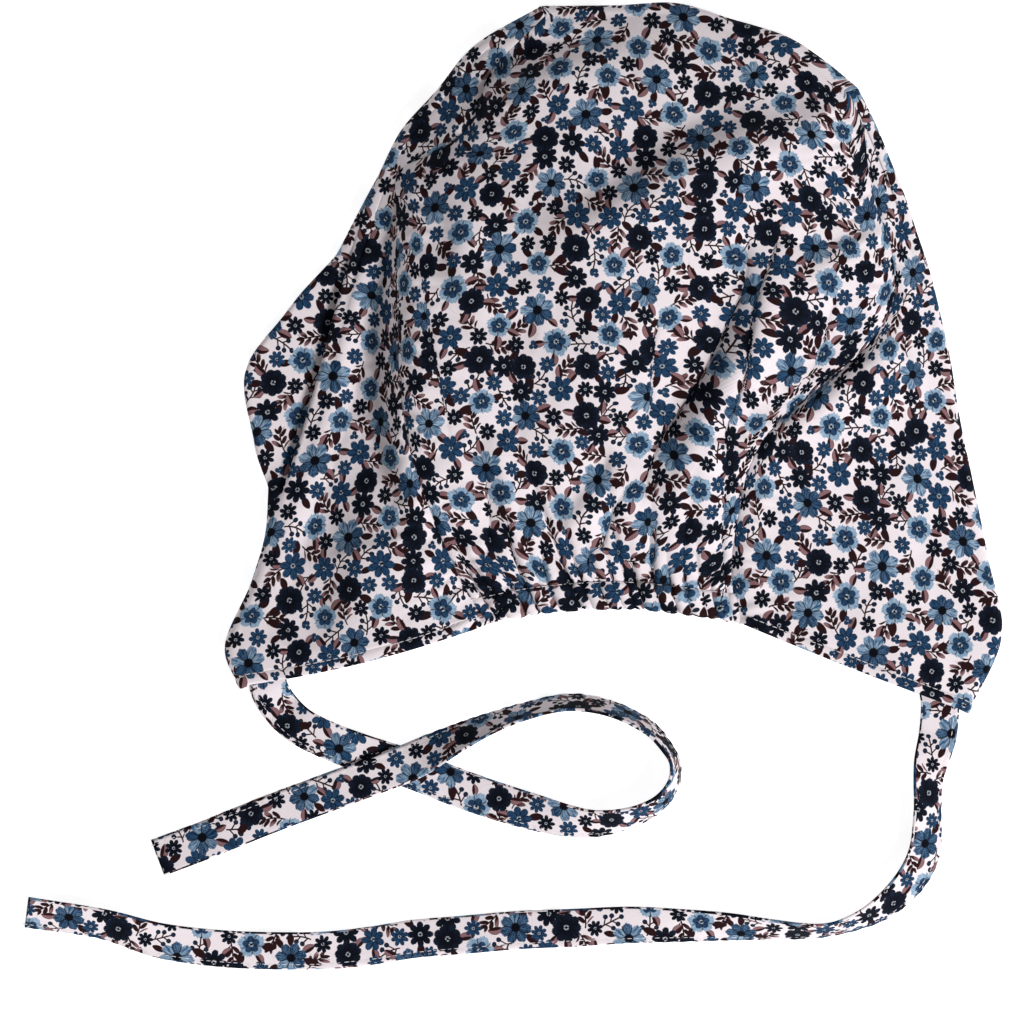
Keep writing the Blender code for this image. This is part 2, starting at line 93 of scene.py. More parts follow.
key = bpy.data.lights.new("key", "AREA")
key.energy = KEY_POWER
key.size = KEY_SIZE
key_light = add_object("key", key)
key_light.location = KEY_PLACE
key_light.rotation_euler = (-KEY_PLACE).to_track_quat("-Z", "Y").to_euler()

sky = bpy.data.worlds.new("sky")
sky.use_nodes = True
sky.node_tree.nodes["Background"].inputs["Color"].default_value = WHITE
sky.node_tree.nodes["Background"].inputs["Strength"].default_value = SKY_STRENGTH
bpy.context.scene.world = sky

table_mesh = bpy.data.meshes.new("table")
table_shape = bmesh.new()
bmesh.ops.create_grid(table_shape, x_segments=1, y_segments=1, size=TABLE_SIZE / 2)
bmesh.ops.translate(table_shape, verts=table_shape.verts, vec=(0.0, 0.0, -TABLE_DROP))
table_shape.to_mesh(table_mesh)
table_shape.free()
table = add_object("table", table_mesh)
table_finish, table_inputs = plain_finish("pale_table", TABLE_COLOUR, TABLE_ROUGHNESS)
table_inputs["Emission Color"].default_value = WHITE
table_inputs["Emission Strength"].default_value = TABLE_GLOW
table_mesh.materials.append(table_finish)

# The two ties: strips cut from the printed cotton, folded lengthwise with their raw edges
# in, topstitched along the open edge, and caught in the hem at the rim's two corners.
# Each lies on the table as it was dropped; its bends stand partly on edge. The way each
# one lies is a list: metres across and along, the roll of the strip in
# degrees, and how far it is lifted by what it lies on.
TIE_WIDTH = 0.015
TIE_THICKNESS = 0.0014
TIE_STITCH_INSET = 0.0023
TIE_EDGE_STEP = 0.0008
TIE_GROOVE_DEPTH = 0.0004
TIE_GROOVE_REACH = 0.0006
TIE_STEP = 0.0013
TIE_COLUMNS = 14
TABLE_GAP = 0.0001
TIE_WAVER = 0.00036
TIE_WAVER_LENGTH = 0.045
TIE_PUCKER = 0.00022
TIE_PUCKER_LENGTH = 0.0052
WAVER_BEAT = 5.1
TIE_PUCKER_BEAT = 90.0
WAY_SAMPLES = 40
WAY_STEP = 5

LEFT_TIE = (
    (-0.1357, -0.1207, 0, 0.0026), (-0.1342, -0.1289, 0, 0.0024), (-0.1296, -0.1366, 0, 0.0),
    (-0.1224, -0.1436, 8, 0.0), (-0.1116, -0.1491, 8, 0.0), (-0.0992, -0.1535, 4, 0.0),
    (-0.0846, -0.1584, 0, 0.0), (-0.0679, -0.1648, 0, 0.0), (-0.0503, -0.1710, 4, 0.0),
    (-0.0308, -0.1773, 16, 0.0), (-0.0113, -0.1812, 40, 0.0), (0.0043, -0.1796, 56, 0.0),
    (0.0160, -0.1745, 65, 0.0), (0.0226, -0.1667, 72, 0.0), (0.0238, -0.1585, 76, 0.0),
    (0.0207, -0.1519, 74, 0.0), (0.0133, -0.1437, 70, 0.0), (-0.0008, -0.1367, 68, 0.0),
    (-0.0172, -0.1340, 66, 0.0), (-0.0328, -0.1369, 66, 0.0002), (-0.0484, -0.1422, 58, 0.0010),
    (-0.0640, -0.1492, 38, 0.0024), (-0.0796, -0.1572, 8, 0.0028), (-0.0971, -0.1640, 0, 0.0024),
    (-0.1186, -0.1718, 0, 0.0006), (-0.1400, -0.1800, 0, 0.0), (-0.1595, -0.1878, 4, 0.0),
    (-0.1780, -0.1948, 0, 0.0),
)
RIGHT_TIE = (
    (0.1262, -0.1285, 0, 0.0026), (0.1272, -0.1355, 0, 0.0026), (0.1263, -0.1470, -4, 0.0),
    (0.1235, -0.1570, -24, 0.0), (0.1224, -0.1659, -38, 0.0), (0.1223, -0.1769, -42, 0.0),
    (0.1213, -0.1917, -32, 0.0), (0.1155, -0.2034, -34, 0.0), (0.1053, -0.2136, -48, 0.0),
    (0.0940, -0.2196, -64, 0.0), (0.0811, -0.2229, -70, 0.0), (0.0620, -0.2227, -58, 0.0),
    (0.0413, -0.2215, -40, 0.0), (0.0230, -0.2210, -26, 0.0), (-0.0023, -0.2213, -10, 0.0),
    (-0.0402, -0.2233, 0, 0.0), (-0.0757, -0.2262, 0, 0.0), (-0.0944, -0.2290, 0, 0.0),
    (-0.1186, -0.2311, -8, 0.0), (-0.1502, -0.2303, -12, 0.0), (-0.1763, -0.2272, -20, 0.0),
    (-0.1993, -0.2206, -36, 0.0), (-0.2290, -0.2160, -34, 0.0),
)

# The print: small star flowers over two layers of blossoms, over leaves that look out from
# behind them, over leaf and berry sprigs, scattered evenly on a square repeat of the cloth.
# Sizes are in millimetres of cloth. form and depth shape a flower by its petals and how
# deep they part; for a sprig they are its kind and its half length.
PRINT_REPEAT = 176.0
PRINT_SEED = 11
CANDIDATES = 300
SPREAD_ROUNDS = 160
MOTIF_GAP = 1.1
MOTIF_PUSH = 0.2
LEAF_GAP = 4.4
LEAF_REACHES = (2.5, 3.3)
LEAF_TRIES = 5
LEAF_FOOT = 0.9
LEAF_OUT = 0.62
MILLIMETRES = 1000.0
BATCH = 8192
TINY = 1e-9
Motif = namedtuple("Motif", "layer count radius form depth palette")
LAYERS = ("sprigs", "leaves", "rear", "front", "stars")
SOLID = ("rear", "front", "stars")
IN_MILLIMETRES = ("sprigs", "leaves")
NAVY, BLUE, TWO_TONE, PALE = range(4)
LEAVES, BERRIES, LEAF = range(3)
MOTIFS = (
    Motif("front", 27, 6.7, 7, 0.30, TWO_TONE),
    Motif("front", 31, 5.5, 9, 0.16, NAVY),
    Motif("rear", 36, 5.5, 5, 0.20, PALE),
    Motif("rear", 27, 5.0, 7, 0.40, BLUE),
    Motif("rear", 32, 5.0, 8, 0.42, NAVY),
    Motif("stars", 64, 3.5, 8, 0.50, NAVY),
    Motif("stars", 48, 3.4, 8, 0.46, BLUE),
    Motif("stars", 24, 1.9, 3, 0.62, BLUE),
    Motif("sprigs", 68, 5.0, LEAVES, 5.6, 0),
    Motif("sprigs", 60, 4.6, BERRIES, 4.7, 0),
)
# How closely motifs of two layers may lie, as a share of the sum of their radii. Layers
# that are not named here keep MOTIF_GAP between them.
CLOSENESS = {
    ("front", "rear"): 0.72,
    ("front", "stars"): 0.94,
    ("rear", "stars"): 0.92,
    ("front", "sprigs"): 0.84,
    ("rear", "sprigs"): 0.82,
    ("stars", "sprigs"): 0.84,
}


def repeat_step(step):
    """The shortest step between two places of the repeating print."""
    return (step + PRINT_REPEAT / 2) % PRINT_REPEAT - PRINT_REPEAT / 2


def scatter_motifs():
    """Places, radii, turns and forms of the motifs on one repeat."""
    rng = np.random.default_rng(PRINT_SEED)
    rows = [motif for motif in MOTIFS for _ in range(motif.count)]
    layers = [motif.layer for motif in rows]
    radii = np.array([motif.radius for motif in rows]) * rng.uniform(0.92, 1.08, len(rows))
    pairs = [[CLOSENESS.get((a, b), CLOSENESS.get((b, a), 1.0)) for b in layers] for a in layers]
    share = np.array(pairs)
    wanted = (radii[:, None] + radii) * share + np.where(share == 1.0, MOTIF_GAP, 0.0)
    places = np.empty((0, 2))
    for index in range(len(rows)):
        tries = rng.uniform(0, PRINT_REPEAT, (CANDIDATES, 2))
        room = np.linalg.norm(repeat_step(tries[:, None] - places), axis=-1) - wanted[index, :index]
        best = room.min(1, initial=PRINT_REPEAT).argmax()
        places = np.vstack([places, tries[best]])
    for _ in range(SPREAD_ROUNDS):
        step = repeat_step(places[:, None] - places)
        gap = np.linalg.norm(step, axis=-1) + TINY
        push = np.clip(wanted - gap, 0, None) / gap
        np.fill_diagonal(push, 0)
        places = (places + MOTIF_PUSH * (step * push[..., None]).sum(1)) % PRINT_REPEAT
    turns = rng.uniform(0, 2 * math.pi, len(rows))
    forms = [(motif.form, motif.depth, motif.palette) for motif in rows]
    radii, turns, places = list(radii), list(turns), list(places)
    solid = [index for index, layer in enumerate(layers) if layer in SOLID]
    leaves = []
    for host in [index for index in solid if layers[index] != "stars"] * LEAF_TRIES:
        turn = rng.uniform(0, 2 * math.pi)
        reach = rng.uniform(*LEAF_REACHES)
        out = radii[host] * LEAF_FOOT + reach * LEAF_OUT
        place = places[host] + out * np.array([math.cos(turn), math.sin(turn)])
        near_leaf = [np.linalg.norm(repeat_step(place - other)) for other in leaves]
        others = [other for other in solid if other != host]
        gaps = [np.linalg.norm(repeat_step(place - places[other])) - radii[other] for other in others]
        if min(gaps) >= 0 and min(near_leaf, default=PRINT_REPEAT) > LEAF_GAP:
            leaves.append(place)
            places.append(place % PRINT_REPEAT)
            radii.append(reach)
            turns.append(turn)
            layers.append("leaves")
            forms.append((LEAF, reach, 0))
    return {
        "layers": np.array(layers),
        "places": np.array(places),
        "radii": np.array(radii),
        "turns": np.array(turns),
        "chances": rng.uniform(0, 1, len(layers)),
        "forms": np.array(forms, float),
        "units": np.where(np.isin(layers, IN_MILLIMETRES), 1.0, radii),
    }


motifs = scatter_motifs()


def lay_print(mesh):
    """Gives each corner its place in the nearest motif of each layer, by the mesh's cloth UV map.

    NAME_place holds across, along and a chance value, and NAME_form the motif's three numbers.
    """
    corners = len(mesh.loops)
    cloth = np.empty(corners * 2, np.float32)
    mesh.uv_layers["cloth"].data.foreach_get("uv", cloth)
    cloth = cloth.reshape(-1, 2).astype(float) * MILLIMETRES
    counts = np.empty(len(mesh.polygons), np.int32)
    mesh.polygons.foreach_get("loop_total", counts)
    starts = np.concatenate([[0], np.cumsum(counts)[:-1]])
    centres = np.add.reduceat(cloth, starts, axis=0) / counts[:, None]
    face_of = np.repeat(np.arange(len(counts)), counts)
    for layer in LAYERS:
        of_layer = np.flatnonzero(motifs["layers"] == layer)
        places, radii = motifs["places"][of_layer], motifs["radii"][of_layer]
        nearest = np.empty(len(centres), int)
        away = np.empty((len(centres), 2))
        for first in range(0, len(centres), BATCH):
            part = slice(first, first + BATCH)
            step = repeat_step(centres[part, None] - places)
            best = (np.linalg.norm(step, axis=-1) / radii).argmin(1)
            nearest[part] = best
            away[part] = step[np.arange(len(best)), best]
        chosen = of_layer[nearest]
        local = cloth - (centres - away)[face_of]
        turn = motifs["turns"][chosen][face_of]
        unit = motifs["units"][chosen][face_of]
        place = np.stack(
            [
                (local[:, 0] * np.cos(turn) + local[:, 1] * np.sin(turn)) / unit,
                (local[:, 1] * np.cos(turn) - local[:, 0] * np.sin(turn)) / unit,
                motifs["chances"][chosen][face_of],
            ],
            axis=1,
        )
        form = motifs["forms"][chosen][face_of]
        for name, values in ((layer + "_place", place), (layer + "_form", form)):
            attribute = mesh.attributes.new(name, "FLOAT_VECTOR", "CORNER")
            attribute.data.foreach_set("vector", values.astype(np.float32).ravel())


class Term:
    """A number socket of a node tree that takes part in sums as a number does."""

    def __init__(self, wiring, socket):
        self.wiring = wiring
        self.socket = socket

    def __add__(self, other):
        return self.wiring.math("ADD", self, other)

    def __sub__(self, other):
        return self.wiring.math("SUBTRACT", self, other)

    def __rsub__(self, other):
        return self.wiring.math("SUBTRACT", other, self)

    def __mul__(self, other):
        return self.wiring.math("MULTIPLY", self, other)

    def __truediv__(self, other):
        return self.wiring.math("DIVIDE", self, other)

    def __pow__(self, other):
        return self.wiring.math("POWER", self, other)

    def __abs__(self):
        return self.wiring.math("ABSOLUTE", self)


class Wiring:
    """Short calls that add nodes to a tree. Arguments are numbers, vectors, terms or sockets."""

    def __init__(self, tree):
        self.tree = tree

    def node(self, kind, **settings):
        made = self.tree.nodes.new(kind)
        for name, value in settings.items():
            setattr(made, name, value)
        return made

    def join(self, value, socket):
        value = getattr(value, "socket", value)
        if isinstance(value, bpy.types.NodeSocket):
            self.tree.links.new(value, socket)
        elif hasattr(value, "__len__") and len(value) == 3 and socket.type == "RGBA":
            socket.default_value = (*value, 1.0)
        else:
            socket.default_value = value

    def math(self, operation, *values, clamp=False):
        made = self.node("ShaderNodeMath", operation=operation, use_clamp=clamp)
        for value, socket in zip(values, made.inputs):
            self.join(value, socket)
        return Term(self, made.outputs[0])

    def times(self, vector, factors):
        made = self.node("ShaderNodeVectorMath", operation="MULTIPLY")
        self.join(vector, made.inputs[0])
        self.join(factors, made.inputs[1])
        return made.outputs["Vector"]

    def length(self, x, y):
        made = self.node("ShaderNodeVectorMath", operation="LENGTH")
        self.join(self.combine(x, y, 0.0), made.inputs[0])
        return Term(self, made.outputs["Value"])

    def split(self, vector):
        made = self.node("ShaderNodeSeparateXYZ")
        self.join(vector, made.inputs[0])
        return [Term(self, socket) for socket in made.outputs]

    def combine(self, *values):
        made = self.node("ShaderNodeCombineXYZ")
        for value, socket in zip(values, made.inputs):
            self.join(value, socket)
        return made.outputs[0]

    def mix(self, share, first, last):
        made = self.node("ShaderNodeMix", data_type="RGBA")
        self.join(share, made.inputs["Factor"])
        self.join(first, made.inputs[6])
        self.join(last, made.inputs[7])
        return made.outputs[2]

    def chance(self, *values):
        made = self.node("ShaderNodeTexWhiteNoise", noise_dimensions="3D")
        self.join(self.combine(*values), made.inputs["Vector"])
        return Term(self, made.outputs["Value"])

    def noise(self, vector, scale, detail):
        made = self.node("ShaderNodeTexNoise")
        self.join(vector, made.inputs["Vector"])
        made.inputs["Scale"].default_value = scale
        made.inputs["Detail"].default_value = detail
        return Term(self, made.outputs["Fac"])

    def below(self, value, limit, softness):
        """1 where value is under limit, 0 where it is over, over a soft edge."""
        gap = self.math("SUBTRACT", limit, value)
        return self.math("MULTIPLY_ADD", gap, 1 / softness, 0.5, clamp=True)

    def over(self, value, limit, softness):
        """1 where value is over limit, 0 where it is under, over a soft edge."""
        return self.below(limit, value, softness)

    def largest(self, *values):
        found = values[0]
        for value in values[1:]:
            found = self.math("MAXIMUM", found, value)
        return found

    def bulge(self, share):
        """A hump over the shares 0 to 1 that is 1 at its middle, and 0 outside them."""
        return self.largest(share * (1.0 - share) * 4.0, 0.0)

    def is_kind(self, value, kind):
        return self.math("COMPARE", value, float(kind), 0.5)


def colour(red, green, blue):
    """A colour read off in 0 to 255, as the linear values that a socket takes."""
    shares = [value / 255 for value in (red, green, blue)]
    return tuple(((one + 0.055) / 1.055) ** 2.4 if one > 0.04 else one / 12.92 for one in shares)


INK_NIGHT = colour(7, 9, 18)
INK_NAVY = colour(27, 42, 66)
INK_DEEP = colour(18, 34, 57)
INK_BLUE = colour(46, 86, 124)
INK_SKY = colour(108, 137, 166)
INK_PALE = colour(158, 180, 199)
INK_MAROON = colour(38, 17, 20)
INK_PINK = colour(160, 119, 123)
INK_RING = colour(190, 198, 210)
GROUND = colour(233, 223, 227)
GROUND_SHADE = colour(228, 217, 222)


def motif_group(name):
    """An empty node group that draws a motif: its wiring, the place and form given, and its end."""
    group = bpy.data.node_groups.new(name, "ShaderNodeTree")
    for label in ("Place", "Form"):
        group.interface.new_socket(label, in_out="INPUT", socket_type="NodeSocketVector")
    group.interface.new_socket("Colour", in_out="OUTPUT", socket_type="NodeSocketColor")
    group.interface.new_socket("Mask", in_out="OUTPUT", socket_type="NodeSocketFloat")
    w = Wiring(group)
    given, drawn = w.node("NodeGroupInput"), w.node("NodeGroupOutput")
    return group, w, given.outputs["Place"], given.outputs["Form"], drawn


# A flower's measures, as shares of its radius, and how its inks are streaked
FLOWER_EDGE = 0.035
TOOTH_DEPTH = 0.055
TEETH_TO_A_PETAL = 5
FRINGE_DEPTH = 0.14
PALE_FRINGE_DEPTH = 0.30
PETAL_UNEVENNESS = 0.10
PETAL_ROUNDNESS = 0.62
PETAL_PARTING = 0.13
PARTING_START = 0.22
HEART_RADIUS = 0.17
TWO_TONE_HEART = 0.10
RING_RADIUS = 0.135
RING_WIDTH = 0.045
INNER_FLOWER = 0.36
INNER_PETALS = 0.30
DARK_PETALS = 0.55
HATCHING_SHARE = 0.45
STREAK_CONTRAST = 4.6


def flower_group():
    """Draws one flower from its place, in radii from its middle, and its form."""
    group, w, place, form, drawn = motif_group("flower")
    x, y, chance = w.split(place)
    petals, depth, palette = w.split(form)
    radius = w.length(x, y)
    turns = w.math("ARCTAN2", y, x) * (petals / (2 * math.pi))
    wave = abs(w.math("COSINE", turns * math.pi))
    petal = w.math("MODULO", w.math("ROUND", turns) + petals, petals)
    petal_chance = w.chance(petal, chance * 97.0, 3.0)
    is_navy, is_two_tone, is_pale = (w.is_kind(palette, kind) for kind in (NAVY, TWO_TONE, PALE))

    streak_place = w.combine(turns * 5.0, radius * 1.6, chance)
    hatching = w.noise(w.combine(turns * 14.0, radius * 3.0, chance), 1.0, 1.0)
    streaks = w.noise(streak_place, 1.3, 1.0) * (1 - HATCHING_SHARE) + hatching * HATCHING_SHARE
    streaks = w.math("MULTIPLY_ADD", streaks - 0.5, STREAK_CONTRAST, 0.5, clamp=True)
    rounded = wave**PETAL_ROUNDNESS
    teeth = abs(w.math("SINE", turns * (TEETH_TO_A_PETAL * math.pi / 2)))
    teeth = teeth * w.largest(is_two_tone, is_pale) * TOOTH_DEPTH
    edge = 1.0 - depth * (1.0 - rounded) - teeth + (petal_chance - 0.5) * PETAL_UNEVENNESS * wave
    edge = edge + (hatching - 0.5) * (is_pale * PALE_FRINGE_DEPTH + FRINGE_DEPTH)
    mask = w.below(radius, edge, FLOWER_EDGE)

    navy = w.mix(streaks * radius * radius * 0.8, INK_NIGHT, INK_NAVY)
    blue = w.mix(streaks * 0.50 + petal_chance * 0.22, INK_DEEP, INK_BLUE)
    light = w.mix(streaks, INK_BLUE, INK_PALE)
    dark = w.mix(streaks * 0.8, INK_DEEP, INK_BLUE)
    two_tone = w.mix(w.over(petal_chance, DARK_PETALS, 0.1), dark, light)
    pale = w.mix(streaks * 0.7 + 0.15, INK_SKY, INK_PALE)
    inner = w.mix(streaks * 0.6, INK_NAVY, INK_BLUE)
    pale = w.mix(w.below(radius, rounded * INNER_PETALS + INNER_FLOWER, 0.05), pale, inner)

    ink = w.mix(is_navy, blue, navy)
    ink = w.mix(is_two_tone, ink, two_tone)
    ink = w.mix(is_pale, ink, pale)
    between = w.below(wave * radius, PETAL_PARTING, 0.10) * w.over(radius, PARTING_START, 0.1)
    ink = w.mix(between * 0.75, ink, INK_NIGHT)
    heart = w.below(radius, is_two_tone * TWO_TONE_HEART + HEART_RADIUS, 0.06)
    ink = w.mix(heart, ink, INK_NIGHT)
    ring = w.below(abs(radius - RING_RADIUS), RING_WIDTH, 0.04) * w.below(is_two_tone, 0.5, 0.1)
    broken = w.over(w.noise(streak_place, 0.5, 0.0), 0.45, 0.1)
    ink = w.mix(ring * broken * 0.8, ink, INK_RING)
    w.join(ink, drawn.inputs["Colour"])
    w.join(mask, drawn.inputs["Mask"])
    return group


# A sprig's measures, in millimetres, or as shares of its half length where they say so.
# Branches carry the berries: where each leaves the stem, as a share of the half length, and
# how far aside its berry stands.
SPRIG_BOW = 0.13
SPRIG_EDGE = 0.14
STEM_SHARE = 0.95
STEM_WIDTH = 0.30
STALK_WIDTH = 0.34
BRANCHES = ((-0.52, 2.7), (0.10, 2.0))
BRANCH_LEAN = 0.75
BRANCH_STAGGER = 0.7
BERRY_RADIUS = 0.98
BERRY_HEART = 0.6
LEAF_PITCH = 2.85
LEAF_LEAN = 0.8
LEAF_NARROWNESS = 0.78
LEAF_LENGTH = 2.6
LOW_LEAF_LENGTH = 1.7
LEAF_WIDTH = 0.96
LEAVES_FROM = -0.72
LEAVES_TO = 0.60
TIP_START = 0.42
TIP_WIDTH = 0.85
BLADE_WIDTH = 0.52
VEIN_PITCH = 9.0
ALL_MAROON = 0.48
ROW_MAROON = 0.62


def sprig_group():
    """Draws a leaf sprig, a berry sprig or a single leaf from its place and its form."""
    group, w, place, form, drawn = motif_group("sprig")
    x, y, chance = w.split(place)
    kind, reach, _ = w.split(form)
    berries, leaf = w.is_kind(kind, BERRIES), w.is_kind(kind, LEAF)
    y = y + (chance - 0.5) * SPRIG_BOW * (x * x)
    aside = abs(y)
    above = w.math("GREATER_THAN", y, 0.0)
    up = (x + reach) / (reach * 2.0)

    nearest = w.length(x - reach * STEM_SHARE, y)
    on_stalk = 0.0
    for foot_share, length in BRANCHES:
        off = x + above * BRANCH_STAGGER - reach * foot_share
        slant = abs(off - aside * BRANCH_LEAN)
        stalk = w.below(slant, STALK_WIDTH, 0.16) * w.below(aside, length, 0.1)
        on_stalk = w.largest(on_stalk, stalk)
        berry = w.length(off - BRANCH_LEAN * length, aside - length)
        nearest = w.math("MINIMUM", nearest, berry)
    on_berry = w.below(nearest, BERRY_RADIUS, 0.16)

    foot = x - aside * LEAF_LEAN
    slot = foot / LEAF_PITCH + above * 0.5
    off_slot = abs((w.math("FRACT", slot) - 0.5) * LEAF_PITCH) * LEAF_NARROWNESS
    leaf_chance = w.chance(w.math("FLOOR", slot), above, chance * 53.0)
    growth = ((1.0 - up) * LOW_LEAF_LENGTH + LEAF_LENGTH) * (leaf_chance * 0.35 + 0.75)
    out = aside / growth
    on_leaf = w.below(off_slot, w.bulge(out) ** 0.7 * LEAF_WIDTH - 0.02, SPRIG_EDGE)
    in_row = w.over(foot, reach * LEAVES_FROM, 0.1) * w.below(foot, reach * LEAVES_TO, 0.1)
    side = w.largest(on_leaf * in_row * (1.0 - berries), w.largest(on_stalk, on_berry) * berries)

    stem = w.below(aside, STEM_WIDTH, SPRIG_EDGE) * w.below(abs(x), reach * STEM_SHARE, 0.1)
    tip_out = (x - reach * TIP_START) / (reach * (1 - TIP_START))
    tip_width = w.bulge(tip_out) ** 0.7 * TIP_WIDTH * (1.0 - berries)
    tip = w.below(aside, tip_width - 0.03, SPRIG_EDGE)
    blade = w.bulge(up) ** 0.72 * (reach * BLADE_WIDTH)
    on_blade = w.below(aside, blade - 0.05, 0.16)
    mask = w.largest(side, stem, tip) * (1.0 - leaf) + on_blade * leaf

    veins = w.math("SINE", (x - aside) * VEIN_PITCH)
    veins = w.math("MULTIPLY_ADD", veins, 0.3, 0.35, clamp=True)
    pink_half = w.over(y, -0.15, 0.2) * w.over(chance, ALL_MAROON, 0.02)
    pink_leaf = w.over(leaf_chance, ROW_MAROON, 0.05) * w.over(out, 0.45, 0.3)
    pink = w.largest(pink_half * leaf, pink_leaf * (1.0 - w.largest(leaf, berries)))
    rim = w.below(blade - aside, 0.28, 0.2)
    pink = pink * (1.0 - rim * (leaf * 0.6))
    ink = w.mix(pink, INK_MAROON, w.mix(veins, INK_PINK, INK_MAROON))
    berry_ink = w.mix(w.below(nearest, BERRY_HEART, 0.3), INK_NIGHT, INK_NAVY)
    ink = w.mix(on_berry * berries, ink, berry_ink)
    w.join(ink, drawn.inputs["Colour"])
    w.join(mask, drawn.inputs["Mask"])
    return group


# The weave of the cotton: a fine twill whose ridges lie aslant, and threads of uneven thickness,
# set both as bump and as painted shade in the colour
TWILL_PITCH = 0.83
THREAD_PITCH = 0.30
RIDGE_RELIEF = 0.35
RIDGE_SHADE = 0.10
THREAD_SHADE = 0.28
SHADE = (0.6, 0.6, 0.62)
WEAVE_DEPTH = 0.0001
COTTON_ROUGHNESS = 0.88
COTTON_SPECULAR = 0.08
BACK_STRENGTH = 0.45


def printed_cotton(name, strength=1.0):
    """Fine cotton twill with the print: an off-white ground, thin inks, and the weave as bump and as
    painted shade.

    strength is how much of the inks shows, which is less on the cloth's wrong side.
    """
    made = bpy.data.materials.new(name)
    made.use_nodes = True
    w = Wiring(made.node_tree)
    shader = made.node_tree.nodes["Principled BSDF"]
    cloth = w.node("ShaderNodeUVMap", uv_map="cloth").outputs[0]
    cloth = w.times(cloth, (MILLIMETRES, MILLIMETRES, MILLIMETRES))
    ink = w.mix(w.noise(cloth, 0.05, 2.0) * 0.5, GROUND, GROUND_SHADE)
    for layer in LAYERS:
        motif_tree = sprig_tree if layer in IN_MILLIMETRES else flower_tree
        drawn = w.node("ShaderNodeGroup", node_tree=motif_tree)
        for part in ("Place", "Form"):
            stored = w.node("ShaderNodeAttribute", attribute_name=f"{layer}_{part.lower()}")
            w.join(stored.outputs["Vector"], drawn.inputs[part])
        mask = Term(w, drawn.outputs["Mask"])
        ink = w.mix(mask * strength, ink, drawn.outputs["Colour"])
    across, along, _ = w.split(cloth)
    ridge = w.math("SINE", (along - across) * (2 * math.pi / TWILL_PITCH / math.sqrt(2)))
    threads = w.noise(w.times(cloth, (1.0, 0.45, 1.0)), 1 / THREAD_PITCH, 1.0)
    # Painted shade of the weave: its ridges and thin threads darken the colour, as their relief would
    # shade them.
    shade = ridge * RIDGE_SHADE + (1.0 - threads) * THREAD_SHADE
    ink = w.mix(shade, ink, w.times(ink, SHADE))
    bump = w.node("ShaderNodeBump")
    bump.inputs["Strength"].default_value = 0.5
    bump.inputs["Distance"].default_value = WEAVE_DEPTH
    w.join(ridge * RIDGE_RELIEF + threads, bump.inputs["Height"])
    w.join(ink, shader.inputs["Base Color"])
    w.join(bump.outputs[0], shader.inputs["Normal"])
    shader.inputs["Roughness"].default_value = COTTON_ROUGHNESS
    shader.inputs["Specular IOR Level"].default_value = COTTON_SPECULAR
    return made


flower_tree = flower_group()
sprig_tree = sprig_group()
printed = printed_cotton("printed_cotton")
printed_back = printed_cotton("printed_cotton_back", BACK_STRENGTH)


def spline(rows, share):
    """Points of a smooth curve through the rows, at shares 0 to 1 of the way along it."""
    rows = np.asarray(rows, float)
    rows = np.vstack([2 * rows[0] - rows[1], rows, 2 * rows[-1] - rows[-2]])
    place = np.clip(np.asarray(share, float), 0, 1) * (len(rows) - 3)
    index = np.minimum(place.astype(int), len(rows) - 4)
    t = (place - index)[..., None]
    a, b, c, d = (rows[index + step] for step in range(4))
    return 0.5 * (
        2 * b + (c - a) * t + (2 * a - 5 * b + 4 * c - d) * t**2 + (3 * b - a - 3 * c + d) * t**3
    )


def bell(away, reach):
    """1 at no distance, and down to nothing some way past the reach."""
    return np.exp(-((away / reach) ** 2))


def unit(vectors):
    """Vectors of length 1 in the same directions; those of no length stay so."""
    return vectors / np.maximum(np.linalg.norm(vectors, axis=-1, keepdims=True), TINY)


def tie_way(points):
    """Centres, rolls in radians and lengths of the strip at even steps along its way."""
    fine = spline(points, np.linspace(0, 1, WAY_SAMPLES * len(points)))
    steps = np.linalg.norm(np.diff(fine[:, :2], axis=0), axis=1)
    length = np.concatenate([[0], np.cumsum(steps)])
    even = np.linspace(0, length[-1], round(length[-1] / TIE_STEP) + 1)
    across, along, roll, lift = (np.interp(even, length, values) for values in fine.T)
    roll = np.radians(roll)
    half_height = (TIE_WIDTH - TIE_THICKNESS) / 2 * np.abs(np.sin(roll)) + TIE_THICKNESS / 2
    height = TABLE_GAP + half_height + np.maximum(lift, 0)
    return np.stack([across, along, height], axis=1), roll, even


def tie_section(open_side):
    """The strip's section, as places across it and heights: a folded edge, and an open edge of two
    layers, the upper a little shorter, with a groove under the stitches on both faces."""
    half, up = TIE_WIDTH / 2, TIE_THICKNESS / 2
    across = np.linspace(-half + up, half - TIE_EDGE_STEP, TIE_COLUMNS)
    groove = TIE_GROOVE_DEPTH * bell(across - half + TIE_STITCH_INSET, TIE_GROOVE_REACH)
    top = [(a, up - g) for a, g in zip(across, groove)]
    open_edge = [(half - TIE_EDGE_STEP * 0.85, up * 0.05)]
    open_edge += [(half - up * 0.3, -up * 0.05), (half, -up * 0.5)]
    bottom = [(a, g - up) for a, g in zip(across, groove)][::-1]
    fold = [(-half + up * 0.3, -up * 0.72), (-half, 0.0), (-half + up * 0.3, up * 0.72)]
    section = np.array(top + open_edge + bottom + fold)
    section[:, 0] *= open_side
    return section


